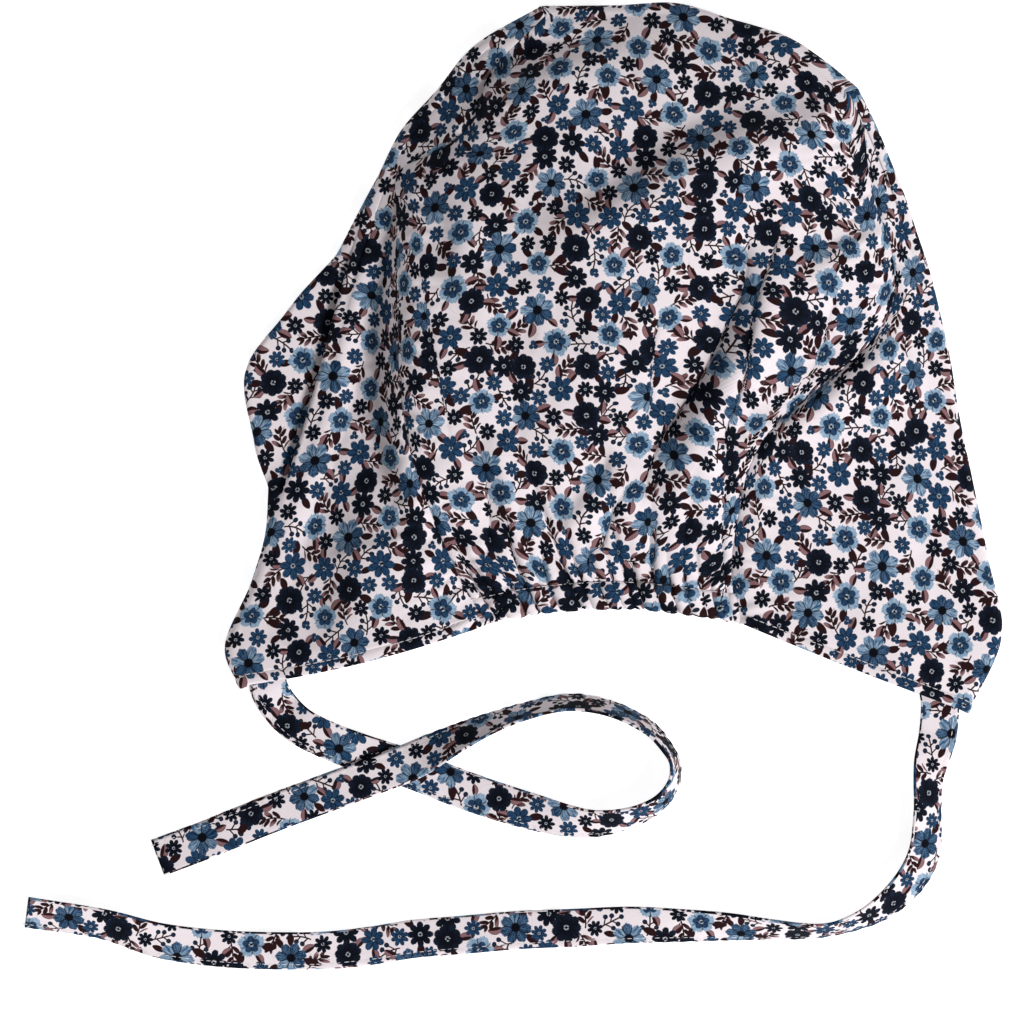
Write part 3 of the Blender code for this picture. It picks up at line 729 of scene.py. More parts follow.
def tie_object(name, points, cut_place, open_side):
    """The strip lofted along its way, with closed square ends, its cut place in the print, and
    the line on which it is stitched."""
    centres, rolls, even = tie_way(points)
    along = np.gradient(centres, axis=0)
    along[:, 2] *= 0.5
    along = unit(along)
    flat = unit(np.stack([along[:, 1], -along[:, 0], np.zeros(len(along))], axis=1))
    upright = np.cross(flat, along)
    side = flat * np.cos(rolls)[:, None] - upright * np.sin(rolls)[:, None]
    face = np.cross(side, along)
    section = tie_section(open_side)
    waver = TIE_WAVER * np.sin(even * 2 * math.pi / TIE_WAVER_LENGTH) * np.sin(even * WAVER_BEAT + 1.0)
    beat = even * 2 * math.pi / TIE_PUCKER_LENGTH + 3 * np.sin(even * TIE_PUCKER_BEAT)
    pucker = TIE_PUCKER * np.sin(beat)
    near_edge = np.clip(section[:, 0] * open_side / (TIE_WIDTH / 2), 0, 1) ** 3
    across = section[None, :, 0] + waver[:, None] * np.abs(section[:, 0]) / TIE_WIDTH
    height = section[None, :, 1] + pucker[:, None] * near_edge
    grid = centres[:, None] + side[:, None] * across[..., None] + face[:, None] * height[..., None]
    grid[..., 2] = np.maximum(grid[..., 2], TABLE_GAP / 2)
    stitched = (TIE_WIDTH / 2 - TIE_STITCH_INSET) * open_side
    lift = TIE_THICKNESS / 2 - TIE_GROOVE_DEPTH + THREAD_RADIUS * 0.6
    stitch_line = centres + side * stitched + face * lift
    step = np.linalg.norm(np.diff(np.vstack([section, section[:1]]), axis=0), axis=1)
    round_the_strip = np.concatenate([[0], np.cumsum(step)])
    rows, columns = grid.shape[:2]
    shape = bmesh.new()
    uv = shape.loops.layers.uv.new("cloth")
    verts = [[shape.verts.new(point) for point in row] for row in grid]
    for row in range(rows - 1):
        for column in range(columns):
            places = ((row, column), (row, column + 1), (row + 1, column + 1), (row + 1, column))
            corners = [verts[r][c % columns] for r, c in places]
            for loop, (r, c) in zip(shape.faces.new(corners).loops, places):
                loop[uv].uv = (cut_place[0] + even[r], cut_place[1] + round_the_strip[c])
    for end in (verts[0], verts[-1]):
        for loop, c in zip(shape.faces.new(end).loops, range(columns)):
            loop[uv].uv = (cut_place[0] + section[c, 0], cut_place[1] + section[c, 1])
    bmesh.ops.recalc_face_normals(shape, faces=shape.faces)
    mesh = bpy.data.meshes.new(name)
    shape.to_mesh(mesh)
    shape.free()
    mesh.shade_smooth()
    lay_print(mesh)
    mesh.materials.append(printed)
    return add_object(name, mesh), centres, even[-1], stitch_line


# Stitches, here and in the hem and casing: short runs of a pale sewing thread, evenly
# spaced along a line by a node group, each half sunk in the cloth.
THREAD_RADIUS = 0.00019
STITCH_PITCH = 0.0027
STITCH_LENGTH = 0.0022
THREAD_ROUGHNESS = 0.8
thread, _ = plain_finish("pale_thread", colour(216, 210, 212), THREAD_ROUGHNESS)


def stitch_group():
    """A node group that turns a line of edges into a row of stitches."""
    group = bpy.data.node_groups.new("stitch_row", "GeometryNodeTree")
    group.interface.new_socket("Line", in_out="INPUT", socket_type="NodeSocketGeometry")
    for label in ("Pitch", "Length", "Radius"):
        group.interface.new_socket(label, in_out="INPUT", socket_type="NodeSocketFloat")
    group.interface.new_socket("Thread", in_out="INPUT", socket_type="NodeSocketMaterial")
    group.interface.new_socket("Stitches", in_out="OUTPUT", socket_type="NodeSocketGeometry")
    w = Wiring(group)
    given, made = w.node("NodeGroupInput"), w.node("NodeGroupOutput")
    curve = w.node("GeometryNodeMeshToCurve")
    w.join(given.outputs["Line"], curve.inputs["Mesh"])
    spaced = w.node("GeometryNodeResampleCurve", mode="LENGTH")
    w.join(curve.outputs["Curve"], spaced.inputs["Curve"])
    w.join(given.outputs["Pitch"], spaced.inputs["Length"])
    grain = w.node("GeometryNodeMeshUVSphere")
    grain.inputs["Segments"].default_value = 8
    grain.inputs["Rings"].default_value = 6
    grain.inputs["Radius"].default_value = 1.0
    turn = w.node("FunctionNodeAlignRotationToVector", axis="Z")
    w.join(w.node("GeometryNodeInputTangent").outputs["Tangent"], turn.inputs["Vector"])
    half = Term(w, given.outputs["Length"]) * 0.5
    size = w.combine(given.outputs["Radius"], given.outputs["Radius"], half)
    placed = w.node("GeometryNodeInstanceOnPoints")
    w.join(spaced.outputs["Curve"], placed.inputs["Points"])
    w.join(grain.outputs["Mesh"], placed.inputs["Instance"])
    w.join(turn.outputs["Rotation"], placed.inputs["Rotation"])
    w.join(size, placed.inputs["Scale"])
    real = w.node("GeometryNodeRealizeInstances")
    w.join(placed.outputs["Instances"], real.inputs["Geometry"])
    smooth = w.node("GeometryNodeSetShadeSmooth")
    w.join(real.outputs["Geometry"], smooth.inputs["Geometry"])
    finish = w.node("GeometryNodeSetMaterial")
    w.join(smooth.outputs["Geometry"], finish.inputs["Geometry"])
    w.join(given.outputs["Thread"], finish.inputs["Material"])
    w.join(finish.outputs["Geometry"], made.inputs["Stitches"])
    return group


stitch_row = stitch_group()


def applied(made):
    """The mesh that an object's modifiers make of it."""
    return bpy.data.meshes.new_from_object(made.evaluated_get(bpy.context.evaluated_depsgraph_get()))


def stitches(name, line):
    """A row of stitches along a line of points, as a piece of its own."""
    mesh = bpy.data.meshes.new(name)
    mesh.from_pydata(np.asarray(line).tolist(), [(i, i + 1) for i in range(len(line) - 1)], [])
    made = add_object(name, mesh)
    modifier = made.modifiers.new("stitches", "NODES")
    modifier.node_group = stitch_row
    sizes = {"Pitch": STITCH_PITCH, "Length": STITCH_LENGTH, "Radius": THREAD_RADIUS, "Thread": thread}
    for socket in stitch_row.interface.items_tree:
        if socket.name in sizes:
            modifier[socket.identifier] = sizes[socket.name]
    sewn = applied(made)
    made.modifiers.clear()
    made.data = sewn
    bpy.data.meshes.remove(mesh)
    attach(made, "root")
    return made


for tie_name, tie_points, cut_place, open_side in (
    ("tie_left", LEFT_TIE, (0.010, 0.020), 1),
    ("tie_right", RIGHT_TIE, (0.060, 0.081), -1),
):
    strip = tie_name + "_strip"
    tie, centres, tie_length, stitch_line = tie_object(strip, tie_points, cut_place, open_side)
    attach(tie, "root")
    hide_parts(tie_name)
    way = [tuple(point) for point in centres[::WAY_STEP]] + [tuple(centres[-1])]
    stitches(tie_name + "_stitches", stitch_line)

# The cap's outline and lie, shared by all its cloth. Tables hold shares of the cap's width
# and length, read off: the band's lines from the crown's seam to where the cloth
# turns under, the top of the crown, the nape's edge and the front edge underneath.
CAP_WIDTH = 0.303
CAP_LENGTH = 0.276
CROWN_RISE = 0.034
CLOTH_WALL = 0.0012
FOLD_RADIUS = 0.0042
SIDE_ROUNDING = 0.045
OUTER_BEND_SHARE = 0.37
TUCK_SHARE = 0.5
LEFT_RIM_BOW = 0.0028
RIGHT_RIM_BOW = 0.0006
CROWN_UNDERLAP = 0.020
UNDERLAP_LEAN = 0.009
OUTLINE_SAMPLES = 121
SEAM_SAMPLES = 50
SHORT_STEP = 0.03

# A line of the band: where it starts at the seam, across and along, where it turns under,
# across and along, and how far the layer behind looks out there.
LEFT_LINES = (
    (-0.159, -0.374, -0.481, -0.468, 0.000), (-0.195, -0.317, -0.501, -0.405, 0.000),
    (-0.226, -0.242, -0.466, -0.312, 0.000), (-0.257, -0.150, -0.440, -0.222, 0.007),
    (-0.272, -0.059, -0.407, -0.122, 0.056), (-0.276, 0.033, -0.380, -0.019, 0.095),
    (-0.278, 0.125, -0.360, 0.066, 0.062), (-0.279, 0.202, -0.335, 0.160, 0.021),
    (-0.276, 0.263, -0.307, 0.252, 0.000), (-0.224, 0.291, -0.275, 0.321, 0.000),
    (-0.180, 0.336, -0.230, 0.377, 0.000), (-0.158, 0.405, -0.179, 0.443, 0.000),
)
RIGHT_LINES = (
    (0.162, -0.374, 0.455, -0.502, 0.000), (0.150, -0.305, 0.499, -0.393, 0.000),
    (0.157, -0.228, 0.482, -0.284, 0.000), (0.175, -0.146, 0.462, -0.174, 0.000),
    (0.212, -0.087, 0.445, -0.084, 0.000), (0.258, -0.046, 0.433, -0.002, 0.000),
    (0.326, 0.019, 0.419, 0.068, 0.000), (0.357, 0.083, 0.406, 0.125, 0.000),
    (0.355, 0.153, 0.389, 0.181, 0.000), (0.338, 0.209, 0.374, 0.231, 0.000),
    (0.326, 0.266, 0.357, 0.277, 0.000), (0.319, 0.325, 0.338, 0.328, 0.000),
)
CROWN_TOP = (
    (-0.094, 0.498), (0.002, 0.499), (0.080, 0.502), (0.150, 0.480),
    (0.220, 0.456), (0.267, 0.424), (0.314, 0.382),
)
NAPE_EDGE = (
    (-0.159, -0.374), (-0.095, -0.362), (-0.031, -0.356), (0.033, -0.356),
    (0.098, -0.364), (0.162, -0.374),
)
FRONT_EDGE = (
    (-0.481, -0.468), (-0.365, -0.428), (-0.237, -0.391), (-0.108, -0.349),
    (-0.001, -0.329), (0.111, -0.349), (0.239, -0.404), (0.342, -0.456),
    (0.455, -0.502),
)
RISE_LEVELS = (
    (-0.52, 0.20), (-0.36, 0.34), (-0.20, 0.62), (0.00, 0.88),
    (0.20, 1.00), (0.52, 1.00),
)

# The folds that show in the seen side, in metres on the plan. A slope is higher on the
# right of the way its points run, so that it turns away from the light. A crease is a
# line where the cloth is nipped: it hides some cloth, and its right side stands higher.
Slope = namedtuple("Slope", "rise width reach points")
SLOPES = (
    Slope(0.0085, 0.0045, 0.034, (
        (-0.078, -0.068), (-0.086, -0.040), (-0.087, 0.000), (-0.086, 0.040), (-0.085, 0.080),
    )),
    Slope(0.0036, 0.008, 0.030, ((-0.112, -0.115), (-0.104, -0.080), (-0.100, -0.045))),
    Slope(0.0052, 0.006, 0.017, (
        (-0.084, 0.077), (-0.045, 0.105), (-0.021, 0.116), (0.004, 0.121),
    )),
    Slope(0.0066, 0.008, 0.022, (
        (-0.033, 0.050), (-0.005, 0.060), (0.026, 0.081), (0.049, 0.089), (0.069, 0.093),
        (0.084, 0.105),
    )),
    Slope(0.0034, 0.005, 0.014, (
        (-0.029, 0.015), (-0.052, 0.019), (-0.064, 0.031), (-0.064, 0.054), (-0.072, 0.081),
    )),
    Slope(0.0095, 0.009, 0.024, (
        (0.020, -0.055), (0.027, -0.028), (0.041, -0.005), (0.050, 0.015), (0.056, 0.046),
    )),
    Slope(0.0032, 0.005, 0.013, ((0.069, 0.031), (0.092, 0.046), (0.108, 0.062))),
    Slope(0.0058, 0.008, 0.020, (
        (0.049, -0.040), (0.057, -0.028), (0.088, -0.005), (0.104, 0.011),
    )),
    Slope(0.0030, 0.004, 0.011, ((-0.021, -0.067), (-0.006, -0.047), (0.002, -0.036))),
    Slope(0.0030, 0.004, 0.011, ((-0.041, -0.079), (-0.046, -0.047), (-0.052, -0.032))),
)
Crease = namedtuple("Crease", "depth width step hidden points")
CREASES = (
    Crease(0.0010, 0.0016, 0.0005, 0.0050, (
        (0.012, -0.024), (0.014, -0.016), (0.015, 0.005), (0.018, 0.018),
    )),
    Crease(0.0009, 0.0015, 0.0005, 0.0045, (
        (0.075, -0.011), (0.080, 0.003), (0.083, 0.014), (0.087, 0.026),
    )),
    Crease(0.0015, 0.0020, 0.0008, 0.0070, (
        (0.046, -0.048), (0.043, -0.031), (0.048, -0.017), (0.051, -0.006), (0.055, 0.020),
        (0.061, 0.038), (0.066, 0.054),
    )),
    Crease(0.0014, 0.0020, 0.0006, 0.0060, (
        (0.0105, -0.058), (0.017, -0.035), (0.033, -0.010), (0.044, 0.012), (0.051, 0.030),
        (0.052, 0.054),
    )),
    Crease(0.0009, 0.0016, 0.0004, 0.0035, ((-0.052, -0.085), (-0.048, -0.066), (-0.050, -0.045))),
    Crease(0.0011, 0.0016, 0.0005, 0.0045, (
        (-0.035, -0.0895), (-0.039, -0.0766), (-0.042, -0.058),
    )),
    Crease(0.0012, 0.0017, 0.0006, 0.0045, (
        (-0.006, -0.094), (-0.010, -0.078), (-0.004, -0.072), (0.000, -0.059), (0.009, -0.046),
    )),
    Crease(0.0006, 0.0013, 0.0003, 0.0030, (
        (-0.062, -0.038), (-0.066, -0.018), (-0.072, 0.015), (-0.0755, 0.036), (-0.076, 0.064),
    )),
    Crease(0.0009, 0.0014, 0.0004, 0.0030, ((0.016, -0.088), (0.016, -0.075), (0.017, -0.060))),
)
NIP_SOFTNESS = 0.0004
STEP_REACH = 0.010
RIPPLES = ((26.0, 0.0015), (70.0, 0.0008), (160.0, 0.00022))
TURN_REACH = 0.012
SEAM_LENGTH = 1.2 * CAP_LENGTH
SEAM_DIP = 0.0020
SEAM_DIP_REACH = 0.0045
SEAM_NIP = 0.0012
SEAM_NIP_REACH = 0.0011
PUCKER_DEPTH = 0.00063
PUCKER_PITCH = 0.0085
PUCKER_REACH = 0.0055
PUCKER_SWING = 2.2
PUCKER_BEAT = 1.7
SMOOTH_STEPS = 8
SEAM_HIDDEN = 0.0012
FLANK_HIDDEN = 0.0065
FLANK_LENGTH = 0.060
FAR = 1.0
HIDDEN_REACH = 0.0038
LEFT_FLANK = (np.array([-0.95, 0.30]), 0.022)
RIGHT_FLANK = (np.array([0.93, -0.36]), -0.005)


def plan(across, along):
    return np.array([across * CAP_WIDTH, along * CAP_LENGTH])


def mix(first, last, share):
    return first + (last - first) * share


def distance_to_curve(points, curve):
    """Distance of plan points from a curve, positive on its right, and how far along it they are,
    as a share of the way."""
    start, step = curve[:-1], np.diff(curve, axis=0)
    flat = points.reshape(-1, 2)
    away, along = np.empty(len(flat)), np.empty(len(flat))
    for first in range(0, len(flat), BATCH):
        part = slice(first, first + BATCH)
        offset = flat[part, None, :] - start
        share = np.clip((offset * step).sum(-1) / (step**2).sum(-1), 0, 1)
        gaps = np.linalg.norm(offset - share[..., None] * step, axis=-1)
        nearest = gaps.argmin(-1)
        pick = np.arange(len(nearest)), nearest
        turn = step[nearest, 1] * offset[pick][:, 0] - step[nearest, 0] * offset[pick][:, 1]
        away[part] = gaps[pick] * np.where(turn < 0, -1, 1)
        along[part] = (nearest + share[pick]) / len(step)
    return away.reshape(points.shape[:-1]), along.reshape(points.shape[:-1])


class Outline:
    """The cap's outer edge: up the left side, over the crown's top and down the right."""

    def __init__(self, left, top, right):
        self.left, self.top, self.right = left, top, right
        self.samples = self.point(np.linspace(0, 3, OUTLINE_SAMPLES))

    def point(self, way):
        way = np.clip(np.asarray(way, float), 0, 3)
        found = np.where(way[..., None] < 1, spline(self.left, way), spline(self.top, way - 1))
        return np.where(way[..., None] > 2, spline(self.right, 3 - way), found)

    def inward(self, way):
        way = np.asarray(way, float)
        along = unit(self.point(way + SHORT_STEP) - self.point(way - SHORT_STEP))
        return np.stack([along[..., 1], -along[..., 0]], axis=-1)

    def middle(self, way, inset):
        """Plan points of the cloth's middle, where its outer face lies an inset inside the outline."""
        return self.point(way) + self.inward(way) * (inset + CLOTH_WALL / 2)

    def distance(self, points):
        return np.abs(distance_to_curve(points, self.samples)[0])


crown_top = np.array([plan(*row) for row in CROWN_TOP])
nape_edge = np.array([plan(*row) for row in NAPE_EDGE])
front_edge = np.array([plan(*row) for row in FRONT_EDGE])
left_turn = np.array([plan(*line[2:4]) for line in LEFT_LINES] + [crown_top[0]])
right_turn = np.array([plan(*line[2:4]) for line in RIGHT_LINES] + [crown_top[-1]])
left_peek = np.array([plan(line[4], 0) for line in LEFT_LINES] + [plan(0, 0)])
seen_outline = Outline(left_turn, crown_top, right_turn)
under_outline = Outline(left_turn - left_peek, crown_top, right_turn)
top_left = seen_outline.middle(1, FOLD_RADIUS)
top_right = seen_outline.middle(2, FOLD_RADIUS)
left_seam = np.array([plan(*line[:2]) for line in LEFT_LINES] + [top_left])
right_seam = np.array([plan(*line[:2]) for line in RIGHT_LINES] + [top_right])


def eased(share):
    share = np.clip(share, 0, 1)
    return share**2 * (3 - 2 * share)


def tapered(share):
    return np.sqrt(np.clip(np.sin(math.pi * np.clip(share, 0, 1)), 0, 1))


def curve_through(points):
    return spline(points, np.linspace(0, 1, 8 * len(points)))


def nip(away, width):
    """A sharp dip with a rounded foot, 1 deep."""
    return np.exp(-np.sqrt(away**2 + NIP_SOFTNESS**2) / width)


def from_seam(points, seam):
    """Distance of plan points from a seam, and the share of the way along it."""
    return distance_to_curve(points, spline(seam, np.linspace(0, 1, SEAM_SAMPLES)))


def ripples(points):
    """Height of the soft unevenness of worn and folded cloth."""
    height = np.zeros(points.shape[:-1])
    flat = points.reshape(-1, 2)
    for scale, depth in RIPPLES:
        found = [noise.noise((x * scale, y * scale * 0.8, scale)) for x, y in flat]
        height += depth * np.reshape(found, height.shape)
    return height


def seen_height(points):
    """How far the middle of the cloth on the seen side stands above the turn's upper bend."""
    inside = seen_outline.distance(points) - FOLD_RADIUS - CLOTH_WALL / 2
    side = 1 - np.exp(-np.maximum(inside, 0) / SIDE_ROUNDING)
    levels = np.array(RISE_LEVELS)
    height = CROWN_RISE * np.interp(points[..., 1], levels[:, 0] * CAP_LENGTH, levels[:, 1])
    small = ripples(points)
    for seam in (left_seam, right_seam):
        away, share = from_seam(points, seam)
        gap = np.abs(away)
        small -= SEAM_DIP * bell(gap, SEAM_DIP_REACH)
        small -= SEAM_NIP * np.exp(-gap / SEAM_NIP_REACH)
        beat = share * SEAM_LENGTH / PUCKER_PITCH
        wave = np.sin(2 * math.pi * beat + PUCKER_SWING * np.sin(beat * PUCKER_BEAT) + np.sign(away))
        small += PUCKER_DEPTH * wave * gap / PUCKER_REACH * np.exp(1 - gap / PUCKER_REACH)
    for slope in SLOPES:
        away, share = distance_to_curve(points, curve_through(slope.points))
        left = bell(away, slope.reach) * tapered(share)
        small += slope.rise * np.tanh(away / slope.width) * left
    for crease in CREASES:
        away, share = distance_to_curve(points, curve_through(crease.points))
        step = crease.step * np.tanh(away / NIP_SOFTNESS) * bell(away, STEP_REACH)
        small += (step - crease.depth * nip(away, crease.width)) * tapered(share)
    return height * side + small * eased(inside / TURN_REACH)


def with_height(points, height):
    height = np.broadcast_to(height, points.shape[:-1])
    return np.concatenate([points, height[..., None]], axis=-1)


def plain_turn(share, way, wall):
    """One line of a plain turn, at a share of the way from the seen side to the under side."""
    angle = math.pi * (0.5 - share)
    points = seen_outline.middle(way, FOLD_RADIUS * (1 - math.cos(angle)))
    return with_height(points, wall / 2 + FOLD_RADIUS * (1 + math.sin(angle)))


def smoothed(field):
    """A field on a grid averaged over near rows and columns, so that no fold shears the print."""
    reach = 3 * SMOOTH_STEPS
    steps = np.arange(-reach, reach + 1)
    weights = np.exp(-0.5 * (steps / SMOOTH_STEPS) ** 2)
    weights /= weights.sum()
    for axis in (0, 1):
        around = [(0, 0)] * field.ndim
        around[axis] = (reach, reach)
        wide = np.pad(field, around, mode="edge")
        field = np.apply_along_axis(np.convolve, axis, wide, weights, "valid")
    return field


def hidden_at_seam(along, away, centre):
    """How much cloth the dip beside a seam takes up, most where the cap's side is steep."""
    most = SEAM_HIDDEN + FLANK_HIDDEN * bell(along - centre, FLANK_LENGTH)
    return most * (1 - np.exp(-away / HIDDEN_REACH))


def cloth_mesh(name, grid, cloth, wall, finishes, flipped=False):
    """A cloth piece from a grid of points and its places on the flat cloth, given a wall."""
    rows, columns = grid.shape[:2]
    index = np.arange(rows * columns).reshape(rows, columns)
    corners = [index[:-1, :-1], index[:-1, 1:], index[1:, 1:], index[1:, :-1]]
    faces = np.stack(corners[::-1] if flipped else corners, axis=-1).reshape(-1, 4)
    mesh = bpy.data.meshes.new(name)
    mesh.from_pydata(grid.reshape(-1, 3).tolist(), [], faces.tolist())
    uv = mesh.uv_layers.new(name="cloth")
    uv.data.foreach_set("uv", cloth.reshape(-1, 2)[faces.ravel()].astype(np.float32).ravel())
    for finish in finishes:
        mesh.materials.append(finish)
    made = add_object(name, mesh)
    if wall:
        solidify = made.modifiers.new("wall", "SOLIDIFY")
        solidify.thickness = wall
        solidify.offset = 0.0
        solidify.use_even_offset = False
        solidify.material_offset = len(finishes) - 1
        solid = applied(made)
        made.modifiers.clear()
        made.data = solid
        bpy.data.meshes.remove(mesh)
    made.data.shade_smooth()
    lay_print(made.data)
    return made


def rolled_edge(grid, cloth, thicknesses):
    """A folded edge as a closed tube: the grid's rows on the outer face, then back on the inner."""
    across = np.gradient(grid, axis=1)
    along = np.gradient(grid, axis=0)
    normal = unit(np.cross(across, along))
    half = np.asarray(thicknesses)[:, None, None] / 2
    outer, inner = grid + normal * half, grid - normal * half
    ring = np.concatenate([inner[::-1], outer[1:-1], inner[-1:]])
    places = np.concatenate([cloth[::-1], cloth[1:-1], cloth[-1:]])
    return ring, places


# The band: one long piece of the printed cotton round the head, lying doubled, with a turn
# at either side and a tuck low on the left, where the layer behind looks out. It is seamed
# to the crown along its upper edge.
SIDE_COLUMNS = 88
BEHIND_COLUMNS = 26
UNDER_COLUMNS = 170
TURN_STEPS = 12
BAND_ROWS = 205
BAND_WALL = 0.0010
HEM_WALL = 0.0021
HEM_TENTHS = (0, 2, 6, 12, 20, 28, 35, 40, 43, 45, 48)
HEM_LENGTHS = np.array(HEM_TENTHS) / 10000
BEND_ANGLES = tuple(math.radians(angle) for angle in np.arange(-90, 91, 22.5))
BAND_PRINT_SHIFT = np.array([0.061, 0.037])
PEEK_START = 0.006
WALL_CHANGE = 0.05


def on_seen_side(points, wall):
    return with_height(points, wall / 2 + 2 * FOLD_RADIUS + seen_height(points))


def tuck_profile(peek):
    """The bends of a tucked turn from the under side up: inset, place and height of each point.

    place is 0 at the edge of the layer behind and 1 at the turn of the seen side.
    """
    outer = OUTER_BEND_SHARE * FOLD_RADIUS
    middle = FOLD_RADIUS - 2 * outer
    tuck = TUCK_SHARE * peek
    upper = 2 * (outer + middle)
    profile = [(outer * (1 - math.cos(a)), 0, outer * (1 + math.sin(a))) for a in BEND_ANGLES]
    profile += [(outer, share / BEHIND_COLUMNS, 2 * outer) for share in range(1, BEHIND_COLUMNS)]
    profile += [(tuck - middle, 1, 2 * outer), (tuck, 1, 2 * outer + middle), (tuck - middle, 1, upper)]
    profile += [(outer * (1 - math.cos(a)), 1, upper + outer * (1 + math.sin(a))) for a in BEND_ANGLES]
    return profile


TUCK_POINTS = len(tuck_profile(0))


def tucked_turn(index, up, wall):
    """One column of the left turn, from the seen side down. It is a plain bend where no layer
    behind stands out, and becomes a tuck as that layer does."""
    edge, inward = under_outline.middle(up, 0), under_outline.inward(up)
    to_turn = seen_outline.middle(up, 0) - edge
    peek = np.linalg.norm(to_turn, axis=-1)[..., None]
    tucked = eased(peek / (4 * FOLD_RADIUS))
    step = TUCK_POINTS - 1 - index
    inset, place, height = tuck_profile(peek)[step]
    share = step / (TUCK_POINTS - 1)
    angle = math.pi * (share - 0.5)
    plain_inset = FOLD_RADIUS * (1 - math.cos(angle))
    plain_height = FOLD_RADIUS * (1 + math.sin(angle))
    place = mix(max(0.0, 2 * share - 1), place, tucked)
    points = edge + to_turn * place
    points = points + mix(inward, seen_outline.inward(up), place) * mix(plain_inset, inset, tucked)
    return with_height(points, wall / 2 + mix(plain_height, height, tucked)[..., 0])


def side_points(share, up, seam, way, bow):
    """Plan points of the seen band between the seam, at share 0, and the turn, at share 1."""
    points = mix(spline(seam, up), seen_outline.middle(way, FOLD_RADIUS), share)
    points[..., 1] -= bow * 4 * share * (1 - share) * (1 - up) ** 4
    return points


def underlap_edge(share):
    """Plan points of the crown's seam where it lies underneath, below the top turn."""
    share = np.asarray(share, float)[..., None]
    straight = mix(top_left, top_right, share)
    return straight + np.array([UNDERLAP_LEAN, -CROWN_UNDERLAP]) * 4 * share * (1 - share)


def under_side(share, up, wall):
    """One column of the lower layer, at a share of the way from the left turn to the right."""
    left, right = under_outline.middle(up, FOLD_RADIUS), seen_outline.middle(3 - up, FOLD_RADIUS)
    straight = mix(left, right, share)
    rim = spline(front_edge, share) - mix(front_edge[0], front_edge[-1], share)
    top = underlap_edge(share) - mix(underlap_edge(0), underlap_edge(1), share)
    height_share = up[..., None]
    return with_height(straight + (1 - height_share) * rim + height_share * top, wall / 2)


def band_columns():
    """Functions of the shares up the cap and the wall, one for each column of the band's cloth,
    from the left seam round the under side to the right seam."""

    def left_side(share, up, wall):
        return on_seen_side(side_points(share, up, left_seam, up, LEFT_RIM_BOW), wall)

    def right_turn_line(share, up, wall):
        return plain_turn(share, 3 - up, wall)

    def right_side(share, up, wall):
        return on_seen_side(side_points(share, up, right_seam, 3 - up, RIGHT_RIM_BOW), wall)

    sides = np.arange(SIDE_COLUMNS) / SIDE_COLUMNS
    columns = [partial(left_side, share) for share in sides]
    columns += [partial(tucked_turn, index) for index in range(TUCK_POINTS)]
    columns += [partial(under_side, share) for share in np.arange(1, UNDER_COLUMNS) / UNDER_COLUMNS]
    columns += [partial(right_turn_line, 1 - index / TURN_STEPS) for index in range(TURN_STEPS + 1)]
    sides = 1 - (np.arange(SIDE_COLUMNS) + 1) / SIDE_COLUMNS
    columns += [partial(right_side, share) for share in sides]
    return columns


def share_of_length(column, lengths):
    """The shares up a column of cloth that lie these lengths above the rim."""
    step = np.diff(column(np.array([0.0, SHORT_STEP]), CLOTH_WALL), axis=0)
    return lengths / np.linalg.norm(step) * SHORT_STEP


def unrolled(grid, shift, under_at, flank, behind=None):
    """Places on the flat cloth of a grid whose rows run outward from a seam: as on the plan, with
    the length that slopes take up, straight on where the cloth turns, and mirrored from column
    under_at, where it lies underneath. behind holds the first and last column of a layer that
    looks out behind, flat as on the plan."""
    turn_at = SIDE_COLUMNS
    step = np.diff(grid, axis=1)
    plan_length = np.linalg.norm(step[..., :2], axis=-1)
    way = unit(step[..., :2])
    turn = grid[:, turn_at - 1, :2]
    up = unit(np.gradient(turn, axis=0))
    side = np.sign(grid[0, turn_at, 0])
    outward = np.stack([up[:, 1], -up[:, 0]], axis=-1)[:, None] * side
    fold = unit(turn[-1] - turn[0])
    mirrored = 2 * (way[:, under_at:] @ fold)[..., None] * fold - way[:, under_at:]
    if behind:
        first, last = behind
        stands_out = np.linalg.norm(grid[:, last, :2] - grid[:, first, :2], axis=-1) - PEEK_START
        share = np.clip(stands_out / PEEK_START, 0, 1)[:, None, None]
        way[:, turn_at - 1 : first] = outward
        way[:, first:last] = mix(outward, way[:, first:last], share)
        way[:, last:under_at] = outward
    else:
        way[:, turn_at - 1 : under_at] = outward
    way[:, under_at:] = mirrored
    steps = way * np.linalg.norm(step, axis=-1)[..., None]
    start = grid[:, :1, :2]
    places = np.concatenate([start, start + np.cumsum(steps, axis=1)], axis=1)
    seen = grid[:, :turn_at, :2] + smoothed(places[:, :turn_at] - grid[:, :turn_at, :2])
    places[:, turn_at:] += (seen - places[:, :turn_at])[:, -1:]
    places[:, :turn_at] = seen
    if behind:
        gap = places[:, first : first + 1] - grid[:, first : first + 1, :2]
        begins = share * (1 - share)
        tucked_in = (gap * begins).sum(0) / begins.sum()
        places[:, first:] += share * (tucked_in - gap)
    away = np.concatenate([np.zeros((len(grid), 1)), np.cumsum(plan_length, axis=1)], axis=1)
    hidden = hidden_at_seam(grid[:, :1, 1], away, flank[1])
    return places + hidden[..., None] * flank[0] + shift


def band_grid():
    levels = np.linspace(0, 1, BAND_ROWS + 1)
    hem_walls = np.full(len(HEM_LENGTHS) - 1, HEM_WALL)
    columns = []
    for column in band_columns():
        hem = share_of_length(column, HEM_LENGTHS)
        above = mix(hem[-2], 1.0, levels)
        thinning = np.clip(levels / WALL_CHANGE, 0, 1)
        walls = np.concatenate([hem_walls, mix(HEM_WALL, CLOTH_WALL, thinning)])
        columns.append(column(np.concatenate([hem[:-1], above]), walls))
    return np.stack(columns, axis=1)


